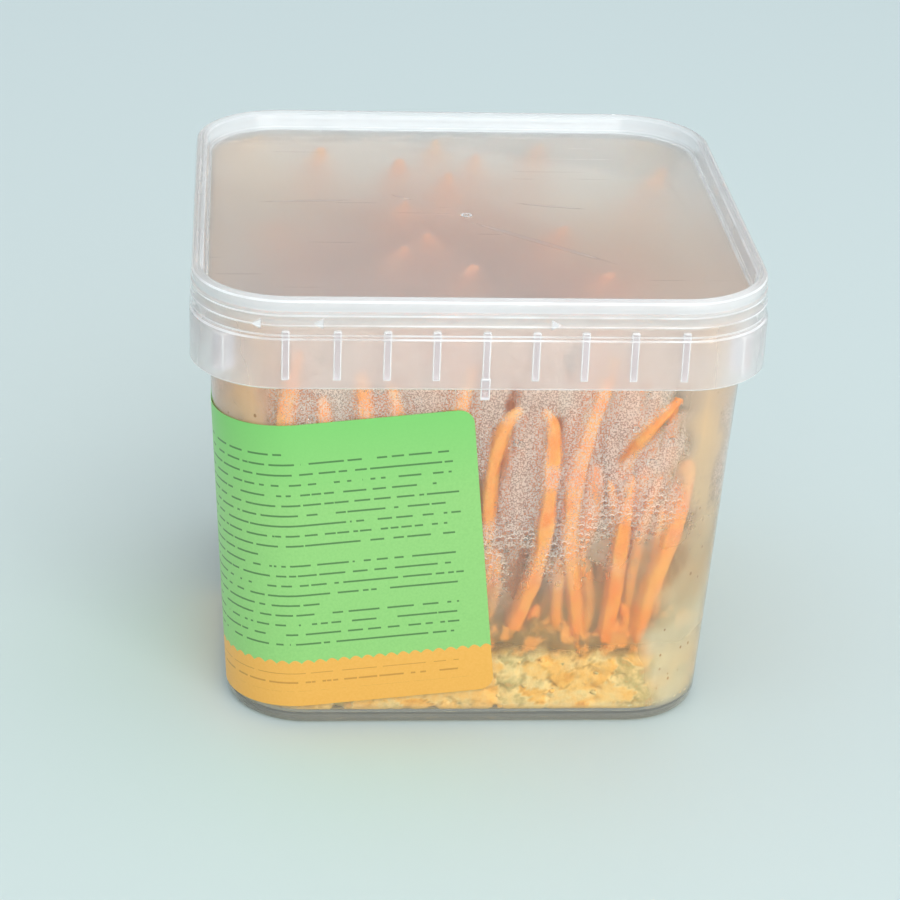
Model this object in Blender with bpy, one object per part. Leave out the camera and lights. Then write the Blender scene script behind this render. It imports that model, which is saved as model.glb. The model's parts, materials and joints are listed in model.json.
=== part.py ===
"""Cordyceps stalks growing from a bed of grain in a square plastic tub with a push-on lid.

Metres, +Z up. The origin is on the table under the middle of the tub, and the
face that carries most of the label looks along -Y.
"""
import math
import random

import bmesh
import bpy
from mathutils import Vector, noise

# Driving dimensions
CLEARANCE = 0.0003
CORNER_STEPS = 6

TUB_BASE_HALF = 0.0564
TUB_BASE_CORNER = 0.0188
TUB_MARK_HEIGHT = 0.0901
TUB_MARK_HALF = 0.0607
TUB_MARK_CORNER = 0.0196
TUB_WALL = 0.0009
TUB_FLOOR = 0.0022
TUB_RECESS = 0.0012
FOOT_INNER = 0.0532
FOOT_OUTER = 0.0551
FOOT_SLOPE = 0.0007
TUB_RIM_TOP = 0.1049
TUB_RIM_THICKNESS = 0.0010
TUB_RIM_HALF = 0.0636

LID_HALF = 0.0650
LID_CORNER = 0.0202
LID_WALL = 0.0009
LID_SKIRT_BOTTOM = 0.0900
LID_STEP = 0.1018
LID_STEP_DEPTH = 0.0004
LID_BEAD_BOTTOM = 0.1070
LID_BEAD_HALF = 0.0647
LID_BEAD_CORNER = 0.0217
LID_BEAD_WIDTH = 0.0032
LID_TOP = 0.1110
LID_PANEL_TOP = 0.1064
LID_PANEL_BOTTOM = 0.1052

RIB_PLACES = (-0.0439, -0.0326, -0.0217, -0.0109, 0.0, 0.0109, 0.0217, 0.0326, 0.0439)
RIB_WIDTH = 0.0016
RIB_INNER = 0.0620
RIB_OUTER = 0.0644
RIB_BOTTOM = 0.0918
RIB_TOP = 0.1034
CORNER_RIB_WIDTH = 0.0034
CORNER_RIB_INNER = 0.0793
CORNER_RIB_OUTER = 0.0829
CORNER_RIB_TOP = 0.1006
NIB_BOTTOM = 0.0873
NIB_WIDTH = 0.0030
NIB_TAPER = 0.6
NIB_INNER = 0.0630
NIB_OUTER = 0.0645

BED_TOP = 0.0205
BED_SWELL = 0.0036
BED_SWELL_LENGTH = 0.021
BED_GRAIN = 0.0018
BED_GRAIN_LENGTH = 0.0085
BED_CELLS = 14

LABEL_WIDTH = 0.118
LABEL_HEIGHT = 0.074
LABEL_CORNER = 0.0035
LABEL_THICKNESS = 0.0003
LABEL_TILT_FRONT = math.radians(6.2)
LABEL_TILT_SIDE = math.radians(1.6)
LABEL_RIGHT = 0.0020
LABEL_MIDDLE_HEIGHT = 0.0467
LABEL_BEND_START = 0.039
LABEL_BEND_END = 0.084
LABEL_COLUMNS = 11
LABEL_ROWS = 4

FRONT_STALK_SIDES = 8
INNER_STALK_SIDES = 6
STALK_RINGS = 7
STALK_ROOT = 0.0025
STALK_GAP = 0.0006
STALK_SPACING = 0.0007
TIP_CEILING = LID_PANEL_BOTTOM - CLEARANCE
TIP_ROUNDING = 0.35
SCATTERED_STALKS = 19
SCATTER_SEED = 5
SCATTER_TRIES = 30
SCATTER_FRONT = -0.038

TUFTS = 11
TUFT_SHOOTS = 4
TUFT_SEED = 8
TUFT_TRIES = 40
SHOOT_SIDES = 5
SHOOT_TIP_SPACING = 0.0055
SHOOT_POINTS = 20
SHOOT_RADII = (0.0014, 0.0019)
SHOOT_LEANS = (0.003, 0.010)
SHOOT_TOPS = (0.040, 0.084)
SHOOT_RISE = ((0.38, 0.16), (0.70, 0.42), (0.90, 0.72), (1.0, 1.0))
SHOOT_RINGS = (0.0, 0.10, 0.42, 0.88, 1.0)
SHOOT_FOOT_OFFSET = 0.0006
SHOOT_FORK_HEIGHT = 0.0015
# Plan areas, as ranges of x and y, that stay free of growth from the bed to the lid.
CLEAR_AREAS = (
    ((-0.052, -0.001), (-0.049, -0.040)), ((0.050, 0.056), (-0.040, 0.030)),
    ((-0.035, -0.014), (-0.013, 0.005)), ((-0.003, 0.014), (-0.019, 0.002)),
    ((0.030, 0.042), (0.029, 0.055)),
)


def material(name, colour, roughness, alpha=1.0):
    """A plain surface with the piece's colour."""
    finish = bpy.data.materials.new(name)
    finish.use_nodes = True
    shader = finish.node_tree.nodes["Principled BSDF"]
    shader.inputs["Base Color"].default_value = (*colour, 1.0)
    shader.inputs["Roughness"].default_value = roughness
    shader.inputs["Metallic"].default_value = 0.0
    shader.inputs["Alpha"].default_value = alpha
    return finish


def add_object(name, mesh, finish):
    """Put a mesh in the scene as one named piece."""
    mesh.materials.clear()
    mesh.materials.append(finish)
    piece = bpy.data.objects.new(name, mesh)
    bpy.context.collection.objects.link(piece)
    return piece


def from_bmesh(name, shape, finish):
    """Turn a bmesh into a smooth-shaded piece with its sharp edges kept."""
    mesh = bpy.data.meshes.new(name)
    shape.to_mesh(mesh)
    shape.free()
    mesh.shade_smooth()
    mesh.set_sharp_from_angle(angle=math.radians(40))
    return add_object(name, mesh, finish)


def hide_tool(tool):
    """Mark a cutter so that it stays out of the model."""
    tool.hide_render = True
    tool.display_type = "WIRE"


def boolean(piece, tool, operation):
    """Join or cut a piece with a tool, and leave the result in its mesh."""
    modifier = piece.modifiers.new(operation.title(), "BOOLEAN")
    modifier.operation = operation
    modifier.solver = "EXACT"
    modifier.object = tool
    hide_tool(tool)


def rounded_square(half, corner, height):
    """Points of a level square ring with round corners, anticlockwise."""
    reach = half - corner
    ring = []
    for quarter, (side_x, side_y) in enumerate(((1, 1), (-1, 1), (-1, -1), (1, -1))):
        for step in range(CORNER_STEPS + 1):
            angle = math.radians(90) * (quarter + step / CORNER_STEPS)
            x = side_x * reach + corner * math.cos(angle)
            y = side_y * reach + corner * math.sin(angle)
            ring.append(Vector((x, y, height)))
    return ring


def loft(rings):
    """A closed shell through level rings, capped at the first and the last."""
    shape = bmesh.new()
    loops = [[shape.verts.new(point) for point in ring] for ring in rings]
    for first, second in zip(loops, loops[1:]):
        for index in range(len(first)):
            following = (index + 1) % len(first)
            shape.faces.new((first[index], first[following], second[following], second[index]))
    shape.faces.new(reversed(loops[0]))
    shape.faces.new(loops[-1])
    return shape


def tub_half(height):
    """Half the tub's outer width at a height on its tapered wall."""
    return TUB_BASE_HALF + (TUB_MARK_HALF - TUB_BASE_HALF) * height / TUB_MARK_HEIGHT


def tub_corner(height):
    """The tub's outer corner radius at a height."""
    return TUB_BASE_CORNER + (TUB_MARK_CORNER - TUB_BASE_CORNER) * height / TUB_MARK_HEIGHT


def tub_ring(height, inset):
    """The tub's outline at a height, moved inwards by inset."""
    return rounded_square(tub_half(height) - inset, tub_corner(height) - inset, height)


def foot_ring(half, height):
    """A ring under the tub, with its corners on the tub's own corner centres."""
    return rounded_square(half, TUB_BASE_CORNER - (TUB_BASE_HALF - half), height)


def make_tub(finish):
    """The tapered tub with its foot ring, its wall and its outward rim."""
    rim_corner = tub_corner(TUB_RIM_TOP) + TUB_RIM_HALF - tub_half(TUB_RIM_TOP)
    rim_bottom = TUB_RIM_TOP - TUB_RIM_THICKNESS
    rings = [
        foot_ring(FOOT_INNER - FOOT_SLOPE, TUB_RECESS),
        foot_ring(FOOT_INNER, 0.0),
        foot_ring(FOOT_OUTER, 0.0),
        foot_ring(TUB_BASE_HALF - 0.0004, 0.0005),
        tub_ring(0.0020, 0.0),
        tub_ring(rim_bottom - 0.0006, 0.0),
        rounded_square(TUB_RIM_HALF, rim_corner, rim_bottom),
        rounded_square(TUB_RIM_HALF, rim_corner, TUB_RIM_TOP),
        tub_ring(TUB_RIM_TOP, TUB_WALL),
        tub_ring(0.0055, TUB_WALL),
        tub_ring(0.0031, TUB_WALL + 0.0010),
        tub_ring(TUB_FLOOR, TUB_WALL + 0.0031),
    ]
    return from_bmesh("tub", loft(rings), finish)


def add_block(shape, across, along, low, high, direction):
    """A rib: a block standing out along a direction, between two distances."""
    side = Vector((-direction.y, direction.x, 0.0)) * across / 2
    corners = []
    for height in (low, high):
        for distance, sign in ((along[0], 1), (along[1], 1), (along[1], -1), (along[0], -1)):
            place = direction * distance + side * sign
            corners.append(shape.verts.new(Vector((place.x, place.y, height))))
    return corners


def close_block(shape, corners, offset):
    """Move a block's corners sideways and close it with six faces."""
    for corner in corners:
        corner.co += offset
    low, high = corners[:4], corners[4:]
    faces = [shape.faces.new(low), shape.faces.new(reversed(high))]
    for index in range(4):
        following = (index + 1) % 4
        faces.append(shape.faces.new((low[following], low[index], high[index], high[following])))
    bmesh.ops.recalc_face_normals(shape, faces=faces)


def make_lid_ribs(finish):
    """The stiffening ribs inside the skirt: nine on each side and one in each corner."""
    shape = bmesh.new()
    for quarter in range(4):
        angle = math.radians(90 * quarter)
        out = Vector((math.cos(angle), math.sin(angle), 0.0))
        side = Vector((-out.y, out.x, 0.0))
        for place in RIB_PLACES:
            rib = add_block(shape, RIB_WIDTH, (RIB_INNER, RIB_OUTER), RIB_BOTTOM, RIB_TOP, out)
            close_block(shape, rib, side * place)
        diagonal = Vector((math.cos(angle + math.pi / 4), math.sin(angle + math.pi / 4), 0.0))
        reach = (CORNER_RIB_INNER, CORNER_RIB_OUTER)
        rib = add_block(shape, CORNER_RIB_WIDTH, reach, RIB_BOTTOM, CORNER_RIB_TOP, diagonal)
        close_block(shape, rib, Vector())
    return from_bmesh("lid_ribs", shape, finish)


def make_lid_nibs(finish):
    """The pointed nib below the middle rib of each side."""
    shape = bmesh.new()
    for quarter in range(4):
        angle = math.radians(90 * quarter)
        out = Vector((math.cos(angle), math.sin(angle), 0.0))
        reach = (NIB_INNER, NIB_OUTER)
        nib = add_block(shape, NIB_WIDTH, reach, NIB_BOTTOM, RIB_BOTTOM + 0.001, out)
        for corner in nib[:4]:
            middle = out * corner.co.dot(out)
            corner.co.xy = corner.co.xy.lerp(middle.xy, NIB_TAPER)
        close_block(shape, nib, Vector())
    return from_bmesh("lid_nibs", shape, finish)


def make_lid(finish):
    """The one-piece lid: a sunk panel, a raised bead round it and a deep ribbed skirt."""
    panel_half = LID_BEAD_HALF - LID_BEAD_WIDTH
    panel_corner = LID_BEAD_CORNER - LID_BEAD_WIDTH
    inner_half = LID_HALF - LID_WALL
    inner_corner = LID_CORNER - LID_WALL
    upper_half = inner_half - LID_STEP_DEPTH
    step_corner = (LID_CORNER + LID_BEAD_CORNER) / 2
    rings = [
        rounded_square(panel_half - 0.0020, panel_corner - 0.0020, LID_PANEL_BOTTOM),
        rounded_square(upper_half, LID_BEAD_CORNER - LID_WALL, LID_PANEL_BOTTOM),
        rounded_square(upper_half, step_corner - LID_WALL, LID_STEP),
        rounded_square(inner_half, inner_corner, LID_STEP - 0.0008),
        rounded_square(inner_half, inner_corner, LID_SKIRT_BOTTOM),
        rounded_square(LID_HALF, LID_CORNER, LID_SKIRT_BOTTOM),
        rounded_square(LID_HALF, LID_CORNER, LID_STEP - 0.0004),
        rounded_square(LID_HALF - LID_STEP_DEPTH, step_corner, LID_STEP + 0.0006),
        rounded_square(LID_HALF - LID_STEP_DEPTH, LID_BEAD_CORNER, LID_BEAD_BOTTOM - 0.0006),
        rounded_square(LID_BEAD_HALF, LID_BEAD_CORNER, LID_BEAD_BOTTOM),
        rounded_square(LID_BEAD_HALF - 0.0001, LID_BEAD_CORNER, LID_TOP - 0.0010),
        rounded_square(LID_BEAD_HALF - 0.0009, LID_BEAD_CORNER - 0.0008, LID_TOP),
        rounded_square(panel_half + 0.0009, panel_corner + 0.0009, LID_TOP),
        rounded_square(panel_half + 0.0002, panel_corner + 0.0002, LID_TOP - 0.0009),
        rounded_square(panel_half, panel_corner, LID_PANEL_TOP + 0.0005),
        rounded_square(panel_half - 0.0006, panel_corner - 0.0006, LID_PANEL_TOP),
    ]
    lid = from_bmesh("lid", loft(rings), finish)
    boolean(lid, make_lid_ribs(finish), "UNION")
    boolean(lid, make_lid_nibs(finish), "UNION")
    return lid


def bed_height(x, y):
    """Height of the grain bed's lumpy top."""
    swell = noise.noise(Vector((x, y, 0.0)) / BED_SWELL_LENGTH)
    grain = noise.noise(Vector((x, y, 0.05)) / BED_GRAIN_LENGTH)
    return BED_TOP + BED_SWELL * swell + BED_GRAIN * grain


def make_bed_block(name, raised, finish):
    """A square block whose top is the bed's lumpy surface, raised by a little."""
    shape = bmesh.new()
    half = TUB_MARK_HALF
    grid = bmesh.ops.create_grid(shape, x_segments=BED_CELLS, y_segments=BED_CELLS, size=half)
    for vertex in grid["verts"]:
        vertex.co.z = bed_height(vertex.co.x, vertex.co.y) + raised
    top = list(shape.faces)
    sides = bmesh.ops.extrude_face_region(shape, geom=top)
    for item in sides["geom"]:
        if isinstance(item, bmesh.types.BMVert):
            item.co.z = -TUB_FLOOR
    bmesh.ops.recalc_face_normals(shape, faces=list(shape.faces))
    return from_bmesh(name, shape, finish)


def make_bed(finish):
    """The bed of grain and mycelium that fills the bottom of the tub."""
    inset = TUB_WALL + CLEARANCE
    rings = [
        tub_ring(TUB_FLOOR + CLEARANCE, inset + 0.0031),
        tub_ring(0.0035, inset + 0.0010),
        tub_ring(0.0060, inset),
        tub_ring(0.0300, inset),
    ]
    cavity = from_bmesh("tub_cavity", loft(rings), finish)
    bed = make_bed_block("grain_bed", 0.0, finish)
    boolean(bed, cavity, "INTERSECT")
    return bed


def smooth_route(points, count):
    """Evenly spaced points on a smooth curve through the given ones."""
    anchors = [Vector(point) for point in points]
    before = anchors[0] * 2 - anchors[1]
    after = anchors[-1] * 2 - anchors[-2]
    anchors = [before, *anchors, after]
    dense = []
    for a, b, c, d in zip(anchors, anchors[1:], anchors[2:], anchors[3:]):
        for step in range(12):
            t = step / 12
            bend = (a * 2 - b * 5 + c * 4 - d) * t * t + (b * 3 - a - c * 3 + d) * t ** 3
            dense.append(b + ((c - a) * t + bend) / 2)
    dense.append(anchors[-2])
    lengths = [0.0]
    for first, second in zip(dense, dense[1:]):
        lengths.append(lengths[-1] + (second - first).length)
    route = []
    index = 0
    for step in range(count):
        wanted = lengths[-1] * step / (count - 1)
        while index < len(lengths) - 2 and lengths[index + 1] < wanted:
            index += 1
        share = (wanted - lengths[index]) / (lengths[index + 1] - lengths[index])
        route.append(dense[index].lerp(dense[index + 1], min(share, 1.0)))
    return route


def stalk_width(share):
    """A stalk's width along its length: a slim foot, a club below a round tip."""
    club = 0.80 + 0.20 * math.sin(math.pi * min(share / 0.9, 1.0) * 0.62)
    tip = max(0.0, (share - 0.86) / 0.14)
    return club * math.sqrt(max(0.0, 1.0 - 0.86 * tip * tip))


def make_stalk(name, points, radius, sides, bed, finish):
    """One stalk: a bent club that stands on the bed and is cut flush with it."""
    curve = bpy.data.curves.new(name, "CURVE")
    curve.dimensions = "3D"
    curve.bevel_depth = radius
    curve.bevel_resolution = (sides - 4) // 2
    curve.use_fill_caps = True
    places = smooth_route(points, STALK_RINGS * 4)
    shares = [0.0, 0.2, 0.4, 0.6, 0.78, 0.92, 1.0]
    spline = curve.splines.new("POLY")
    spline.points.add(len(shares) - 1)
    for point, share in zip(spline.points, shares):
        place = places[round(share * (len(places) - 1))]
        point.co = (*place, 1.0)
        point.radius = stalk_width(share)
    guide = bpy.data.objects.new(name + "_guide", curve)
    bpy.context.collection.objects.link(guide)
    depsgraph = bpy.context.evaluated_depsgraph_get()
    mesh = bpy.data.meshes.new_from_object(guide.evaluated_get(depsgraph))
    bpy.data.objects.remove(guide)
    mesh.shade_smooth()
    stalk = add_object(name, mesh, finish)
    boolean(stalk, bed, "DIFFERENCE")
    return stalk


def rooted(points):
    """Start a stalk's route just under the bed's surface below its first point."""
    x, y, z = points[0]
    root = (x, y, bed_height(x, y) - STALK_ROOT)
    return [root, *points] if z > root[2] + 0.004 else [root, *points[1:]]


def against_front(radius, outline):
    """Route of a stalk that leans on the front wall, from its (x, z) outline."""
    route = []
    for x, z in outline:
        corner = tub_corner(z)
        reach = tub_half(z) - corner
        bend = corner - TUB_WALL - radius - STALK_GAP
        past = max(0.0, abs(x) - reach)
        route.append((x, -reach - math.sqrt(bend * bend - past * past), z))
    return route


def front_stalks():
    """The stalks that stand against the front wall, with their radii."""
    pale = [(0.0176, -0.0480, 0.0225), (0.0205, -0.0482, 0.0327), (0.0246, -0.0487, 0.0435),
            (0.0274, -0.0498, 0.0541), (0.0272, -0.0505, 0.0655)]
    hooked = [(0.0030, -0.0470, 0.0225), (0.0024, -0.0535, 0.0430), (0.0023, -0.0553, 0.0600),
              (0.0034, -0.0562, 0.0735), (0.0064, -0.0560, 0.0800), (0.0092, -0.0550, 0.0822)]
    behind = [(0.0352, -0.0470, 0.0225), (0.0368, -0.0483, 0.0389), (0.0385, -0.0492, 0.0505),
              (0.0389, -0.0500, 0.0642)]
    leaning = [(0.0300, -0.0400, 0.0225), (0.0325, -0.0455, 0.0500), (0.0330, -0.0500, 0.0600),
               (0.0318, -0.0545, 0.0680), (0.0361, -0.0566, 0.0757), (0.0426, -0.0566, 0.0823),
               (0.0449, -0.0558, 0.0849)]
    return [
        (hooked, 0.0022),
        (against_front(0.0023, [(0.0072, 0.0225), (0.0118, 0.0309), (0.0156, 0.0422),
                                (0.0160, 0.0562), (0.0167, 0.0735), (0.0162, 0.0790),
                                (0.0140, 0.0823)]), 0.0023),
        (against_front(0.0022, [(0.0262, 0.0225), (0.0224, 0.0400), (0.0213, 0.0535),
                                (0.0223, 0.0690), (0.0256, 0.0818), (0.0294, 0.0960)]), 0.0022),
        (leaning, 0.0018),
        (against_front(0.0021, [(0.0312, 0.0225), (0.0332, 0.0390), (0.0338, 0.0531),
                                (0.0352, 0.0656)]), 0.0021),
        (behind, 0.0022),
        (against_front(0.0023, [(0.0380, 0.0225), (0.0417, 0.0365), (0.0444, 0.0480),
                                (0.0463, 0.0585), (0.0482, 0.0682)]), 0.0023),
        (pale, 0.0028),
        (against_front(0.0025, [(-0.0440, 0.0230), (-0.0432, 0.0500), (-0.0437, 0.0791),
                                (-0.0432, 0.0870), (-0.0410, 0.0969)]), 0.0025),
        (against_front(0.0024, [(-0.0370, 0.0230), (-0.0345, 0.0500), (-0.0354, 0.0851)]), 0.0024),
        (against_front(0.0025, [(-0.0225, 0.0230), (-0.0245, 0.0520), (-0.0257, 0.0791),
                                (-0.0273, 0.0911)]), 0.0025),
        (against_front(0.0022, [(-0.0150, 0.0230), (-0.0176, 0.0520), (-0.0190, 0.0812),
                                (-0.0206, 0.0887)]), 0.0022),
        (against_front(0.0025, [(-0.0095, 0.0230), (-0.0070, 0.0500), (-0.0058, 0.0813),
                                (-0.0044, 0.0863), (-0.0020, 0.0925)]), 0.0025),
    ]


def bent_under_lid(foot, tip, radius):
    """Route of a tall stalk that grows up to the lid's panel and bends along it."""
    ceiling = TIP_CEILING - TIP_ROUNDING * radius
    lean = (tip[0] - foot[0], tip[1] - foot[1])
    rise = [(0.0, 0.0230), (0.18, 0.0550), (0.52, 0.0860), (0.80, ceiling - 0.0026), (1.0, ceiling)]
    return [(foot[0] + share * lean[0], foot[1] + share * lean[1], height) for share, height in rise]


def tall_stalks():
    """The stalks whose tips press against the lid, with their radii."""
    feet_and_tips = (
        ((0.0020, 0.0380), (0.0061, 0.0459)), ((-0.0190, 0.0330), (-0.0136, 0.0409)),
        ((-0.0070, 0.0500), (-0.0037, 0.0560)), ((-0.0200, 0.0080), (-0.0138, 0.0107)),
        ((-0.0060, 0.0240), (-0.0017, 0.0313)), ((-0.0060, -0.0070), (-0.0105, -0.0114)),
        ((-0.0230, -0.0160), (-0.0155, -0.0201)), ((0.0170, -0.0020), (0.0236, -0.0051)),
        ((0.0450, 0.0310), (0.0525, 0.0361)), ((-0.0060, -0.0260), (-0.0004, -0.0312)),
        ((0.0180, 0.0480), (0.0230, 0.0538)), ((0.0240, -0.0300), (0.0308, -0.0352)),
        ((-0.0400, 0.0430), (-0.0330, 0.0489)),
    )
    return [(bent_under_lid(foot, tip, 0.0024), 0.0024) for foot, tip in feet_and_tips]


def stays_clear(route, radius, others):
    """Whether a stalk's route keeps clear of the routes that are already there."""
    for other, other_radius in others:
        needed = radius + other_radius + STALK_SPACING
        if any((a - b).length < needed for a in route for b in other):
            return False
    return True


def scattered_candidate(chooser):
    """One possible stalk between the others, or None where it would touch a wall."""
    radius = chooser.uniform(0.0020, 0.0026)
    reach = TUB_BASE_HALF - TUB_WALL - radius - STALK_GAP
    x, y = chooser.uniform(-reach, reach), chooser.uniform(SCATTER_FRONT, reach)
    top = chooser.uniform(0.058, 0.088)
    tip_x, tip_y = x + chooser.uniform(-0.007, 0.007), y + chooser.uniform(-0.007, 0.007)
    if max((x / reach) ** 6 + (y / reach) ** 6, (tip_x / reach) ** 6 + (tip_y / reach) ** 6) > 0.6:
        return None
    middle = (x * 0.75 + tip_x * 0.25, y * 0.75 + tip_y * 0.25, top * 0.6)
    return [(x, y, 0.0230), middle, (tip_x, tip_y, top)], radius


def scattered_stalks(placed):
    """More stalks in the widest places between the others, each clear of its neighbours."""
    chooser = random.Random(SCATTER_SEED)
    taken = [(smooth_route(points, 40), radius) for points, radius in placed]
    found = []
    while len(found) < SCATTERED_STALKS:
        best, best_room = None, 0.0
        for _ in range(SCATTER_TRIES):
            candidate = scattered_candidate(chooser)
            if candidate is None:
                continue
            foot = Vector(candidate[0][0])
            room = min((foot - route[0]).length for route, _ in taken)
            if room > best_room and stays_clear(smooth_route(candidate[0], 40), candidate[1], taken):
                best, best_room = candidate, room
        taken.append((smooth_route(best[0], 40), best[1]))
        found.append(best)
    return found


def in_clear_area(place, margin):
    """Whether a place is in, or within a margin of, an area that stays free of growth."""
    return any(low_x - margin < place.x < high_x + margin and low_y - margin < place.y < high_y + margin
               for (low_x, high_x), (low_y, high_y) in CLEAR_AREAS)


def in_tub_plan(place, radius):
    """Whether an upright stalk at a place keeps clear of the tub's walls."""
    reach = TUB_BASE_HALF - TUB_WALL - radius - STALK_GAP
    return (place.x / reach) ** 6 + (place.y / reach) ** 6 < 0.6


def shoot_candidate(chooser, foot):
    """One possible young stalk that leaves a tuft's foot sideways and then grows upright."""
    radius = chooser.uniform(*SHOOT_RADII)
    turn = chooser.uniform(0.0, math.tau)
    away = Vector((math.cos(turn), math.sin(turn), 0.0))
    lean = away * chooser.uniform(*SHOOT_LEANS)
    top = chooser.uniform(*SHOOT_TOPS)
    start = foot + away * SHOOT_FOOT_OFFSET
    root = bed_height(foot.x, foot.y) - STALK_ROOT
    fork = root + STALK_ROOT + SHOOT_FORK_HEIGHT
    points = [start + Vector((0, 0, root)), start + Vector((0, 0, fork))]
    points += [start + lean * share + Vector((0, 0, fork + (top - fork) * height))
               for share, height in SHOOT_RISE]
    return smooth_route(points, SHOOT_POINTS), radius


def grow_tuft(chooser, foot, taken):
    """Young stalks from one foot, each clear of the walls, the clear areas and other stalks."""
    shoots = []
    for _ in range(TUFT_TRIES):
        route, radius = shoot_candidate(chooser, foot)
        if any(in_clear_area(place, radius + CLEARANCE) for place in route):
            continue
        if not all(in_tub_plan(place, radius) for place in route):
            continue
        if any((route[-1] - other[-1]).xy.length < SHOOT_TIP_SPACING for other, _ in shoots):
            continue
        if stays_clear(route, radius, taken):
            shoots.append((route, radius))
        if len(shoots) == TUFT_SHOOTS:
            break
    return shoots


def place_tufts(placed):
    """Tufts of young stalks in the widest places between the stalks that are there."""
    chooser = random.Random(TUFT_SEED)
    taken = [(smooth_route(points, 40), radius) for points, radius in placed]
    tufts = []
    while len(tufts) < TUFTS:
        best, best_room = None, 0.0
        for _ in range(SCATTER_TRIES):
            reach = TUB_BASE_HALF - TUB_WALL
            foot = Vector((chooser.uniform(-reach, reach), chooser.uniform(-reach, reach), 0.0))
            if in_clear_area(foot, 0.003) or not in_tub_plan(foot, 0.003):
                continue
            room = min((foot - route[0]).xy.length for route, _ in taken)
            if room > best_room:
                best, best_room = foot, room
        shoots = grow_tuft(chooser, best, taken)
        if len(shoots) >= TUFT_SHOOTS - 1:
            tufts.append(shoots)
            taken += shoots
    return tufts


def make_shoot(name, route, radius, finish):
    """One young stalk: level five-sided rings drawn up along its route."""
    rings = []
    for share in SHOOT_RINGS:
        place = route[round(share * (len(route) - 1))]
        width = radius * max(stalk_width(share), 1.0 - 2.0 * share)
        angles = [math.tau * side / SHOOT_SIDES for side in range(SHOOT_SIDES)]
        rings.append([place + Vector((math.cos(turn), math.sin(turn), 0.0)) * width for turn in angles])
    return from_bmesh(name, loft(rings), finish)


def make_tuft(name, shoots, bed, finish):
    """One tuft: young stalks grown together at their foot and cut flush with the bed."""
    tuft = make_shoot(name, *shoots[0], finish)
    for number, (route, radius) in enumerate(shoots[1:], start=2):
        boolean(tuft, make_shoot(f"{name}_shoot_{number}", route, radius, finish), "UNION")
    boolean(tuft, bed, "DIFFERENCE")
    return tuft


def make_stalks(finish):
    """All the stalks, numbered from the front wall to the back, and the tufts between them."""
    cutter = make_bed_block("bed_clearance", CLEARANCE, finish)
    front = front_stalks()
    placed = front + tall_stalks()
    placed += scattered_stalks(placed)
    for number, (points, radius) in enumerate(placed, start=1):
        sides = FRONT_STALK_SIDES if number <= len(front) else INNER_STALK_SIDES
        make_stalk(f"stalk_{number:02d}", rooted(points), radius, sides, cutter, finish)
    for number, shoots in enumerate(place_tufts(placed), start=1):
        make_tuft(f"young_tuft_{number:02d}", shoots, cutter, finish)


def label_place(along, up, lift):
    """A point of the label on the tub's wall; along runs right from its left end."""
    corner_start = TUB_BASE_CORNER - tub_half(LABEL_MIDDLE_HEIGHT)
    arc = math.radians(90) * tub_corner(LABEL_MIDDLE_HEIGHT)
    to_right = LABEL_WIDTH - along
    on_front = LABEL_RIGHT - corner_start
    past = min(max(to_right - on_front, 0.0), arc)
    tilt = LABEL_TILT_FRONT + (LABEL_TILT_SIDE - LABEL_TILT_FRONT) * past / arc
    mean_tilt = (LABEL_TILT_FRONT + tilt) / 2
    drop = min(to_right, on_front) * math.sin(LABEL_TILT_FRONT) + past * math.sin(mean_tilt)
    drop += max(to_right - on_front - arc, 0.0) * math.sin(LABEL_TILT_SIDE)
    height = LABEL_MIDDLE_HEIGHT + up * math.cos(tilt) - drop
    run = LABEL_RIGHT - to_right - up * math.sin(tilt)
    half = tub_half(height) + lift
    corner = tub_corner(height) + lift
    bend_start = corner - half
    if run >= bend_start:
        return Vector((run, -half, height))
    turn = (bend_start - run) / (corner - lift)
    if turn <= math.radians(90):
        x = bend_start - corner * math.sin(turn)
        return Vector((x, bend_start - corner * math.cos(turn), height))
    beyond = (turn - math.radians(90)) * (corner - lift)
    return Vector((-half, bend_start + beyond, height))


def slice_plate(shape, place, direction):
    """Cut every face that a plane crosses."""
    everything = list(shape.verts) + list(shape.edges) + list(shape.faces)
    bmesh.ops.bisect_plane(shape, geom=everything, dist=1e-7, plane_co=place, plane_no=direction)


def make_label(finish):
    """The sticker wrapped round the front left corner of the tub."""
    shape = bmesh.new()
    plate = bmesh.ops.create_grid(shape, x_segments=1, y_segments=1, size=0.5)
    for vertex in plate["verts"]:
        vertex.co.x = (vertex.co.x + 0.5) * LABEL_WIDTH
        vertex.co.y *= LABEL_HEIGHT
    bmesh.ops.bevel(shape, geom=list(shape.verts), offset=LABEL_CORNER, segments=3, profile=0.5,
                    affect="VERTICES", material=-1)
    for cut in range(LABEL_COLUMNS):
        share = cut / (LABEL_COLUMNS - 1)
        along = LABEL_BEND_START + (LABEL_BEND_END - LABEL_BEND_START) * share
        slice_plate(shape, (along, 0, 0), (1, 0, 0))
    for cut in range(1, LABEL_ROWS):
        slice_plate(shape, (0, LABEL_HEIGHT * (cut / LABEL_ROWS - 0.5), 0), (0, 1, 0))
    front = list(shape.faces)
    extruded = bmesh.ops.extrude_face_region(shape, geom=front)
    raised = {item for item in extruded["geom"] if isinstance(item, bmesh.types.BMVert)}
    for vertex in shape.verts:
        lift = CLEARANCE + (LABEL_THICKNESS if vertex in raised else 0.0)
        vertex.co = label_place(vertex.co.x, vertex.co.y, lift)
    bmesh.ops.recalc_face_normals(shape, faces=list(shape.faces))
    return from_bmesh("label", shape, finish)


for old in list(bpy.data.objects):
    bpy.data.objects.remove(old)

make_tub(material("tub_plastic", (0.82, 0.84, 0.83), 0.15, 0.35))
make_lid(material("lid_plastic", (0.80, 0.83, 0.83), 0.35, 0.45))
make_bed(material("grain_bed", (0.62, 0.53, 0.30), 0.75))
make_label(material("label_film", (0.26, 0.72, 0.20), 0.30))
make_stalks(material("stalk_flesh", (1.00, 0.36, 0.06), 0.55))
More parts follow.
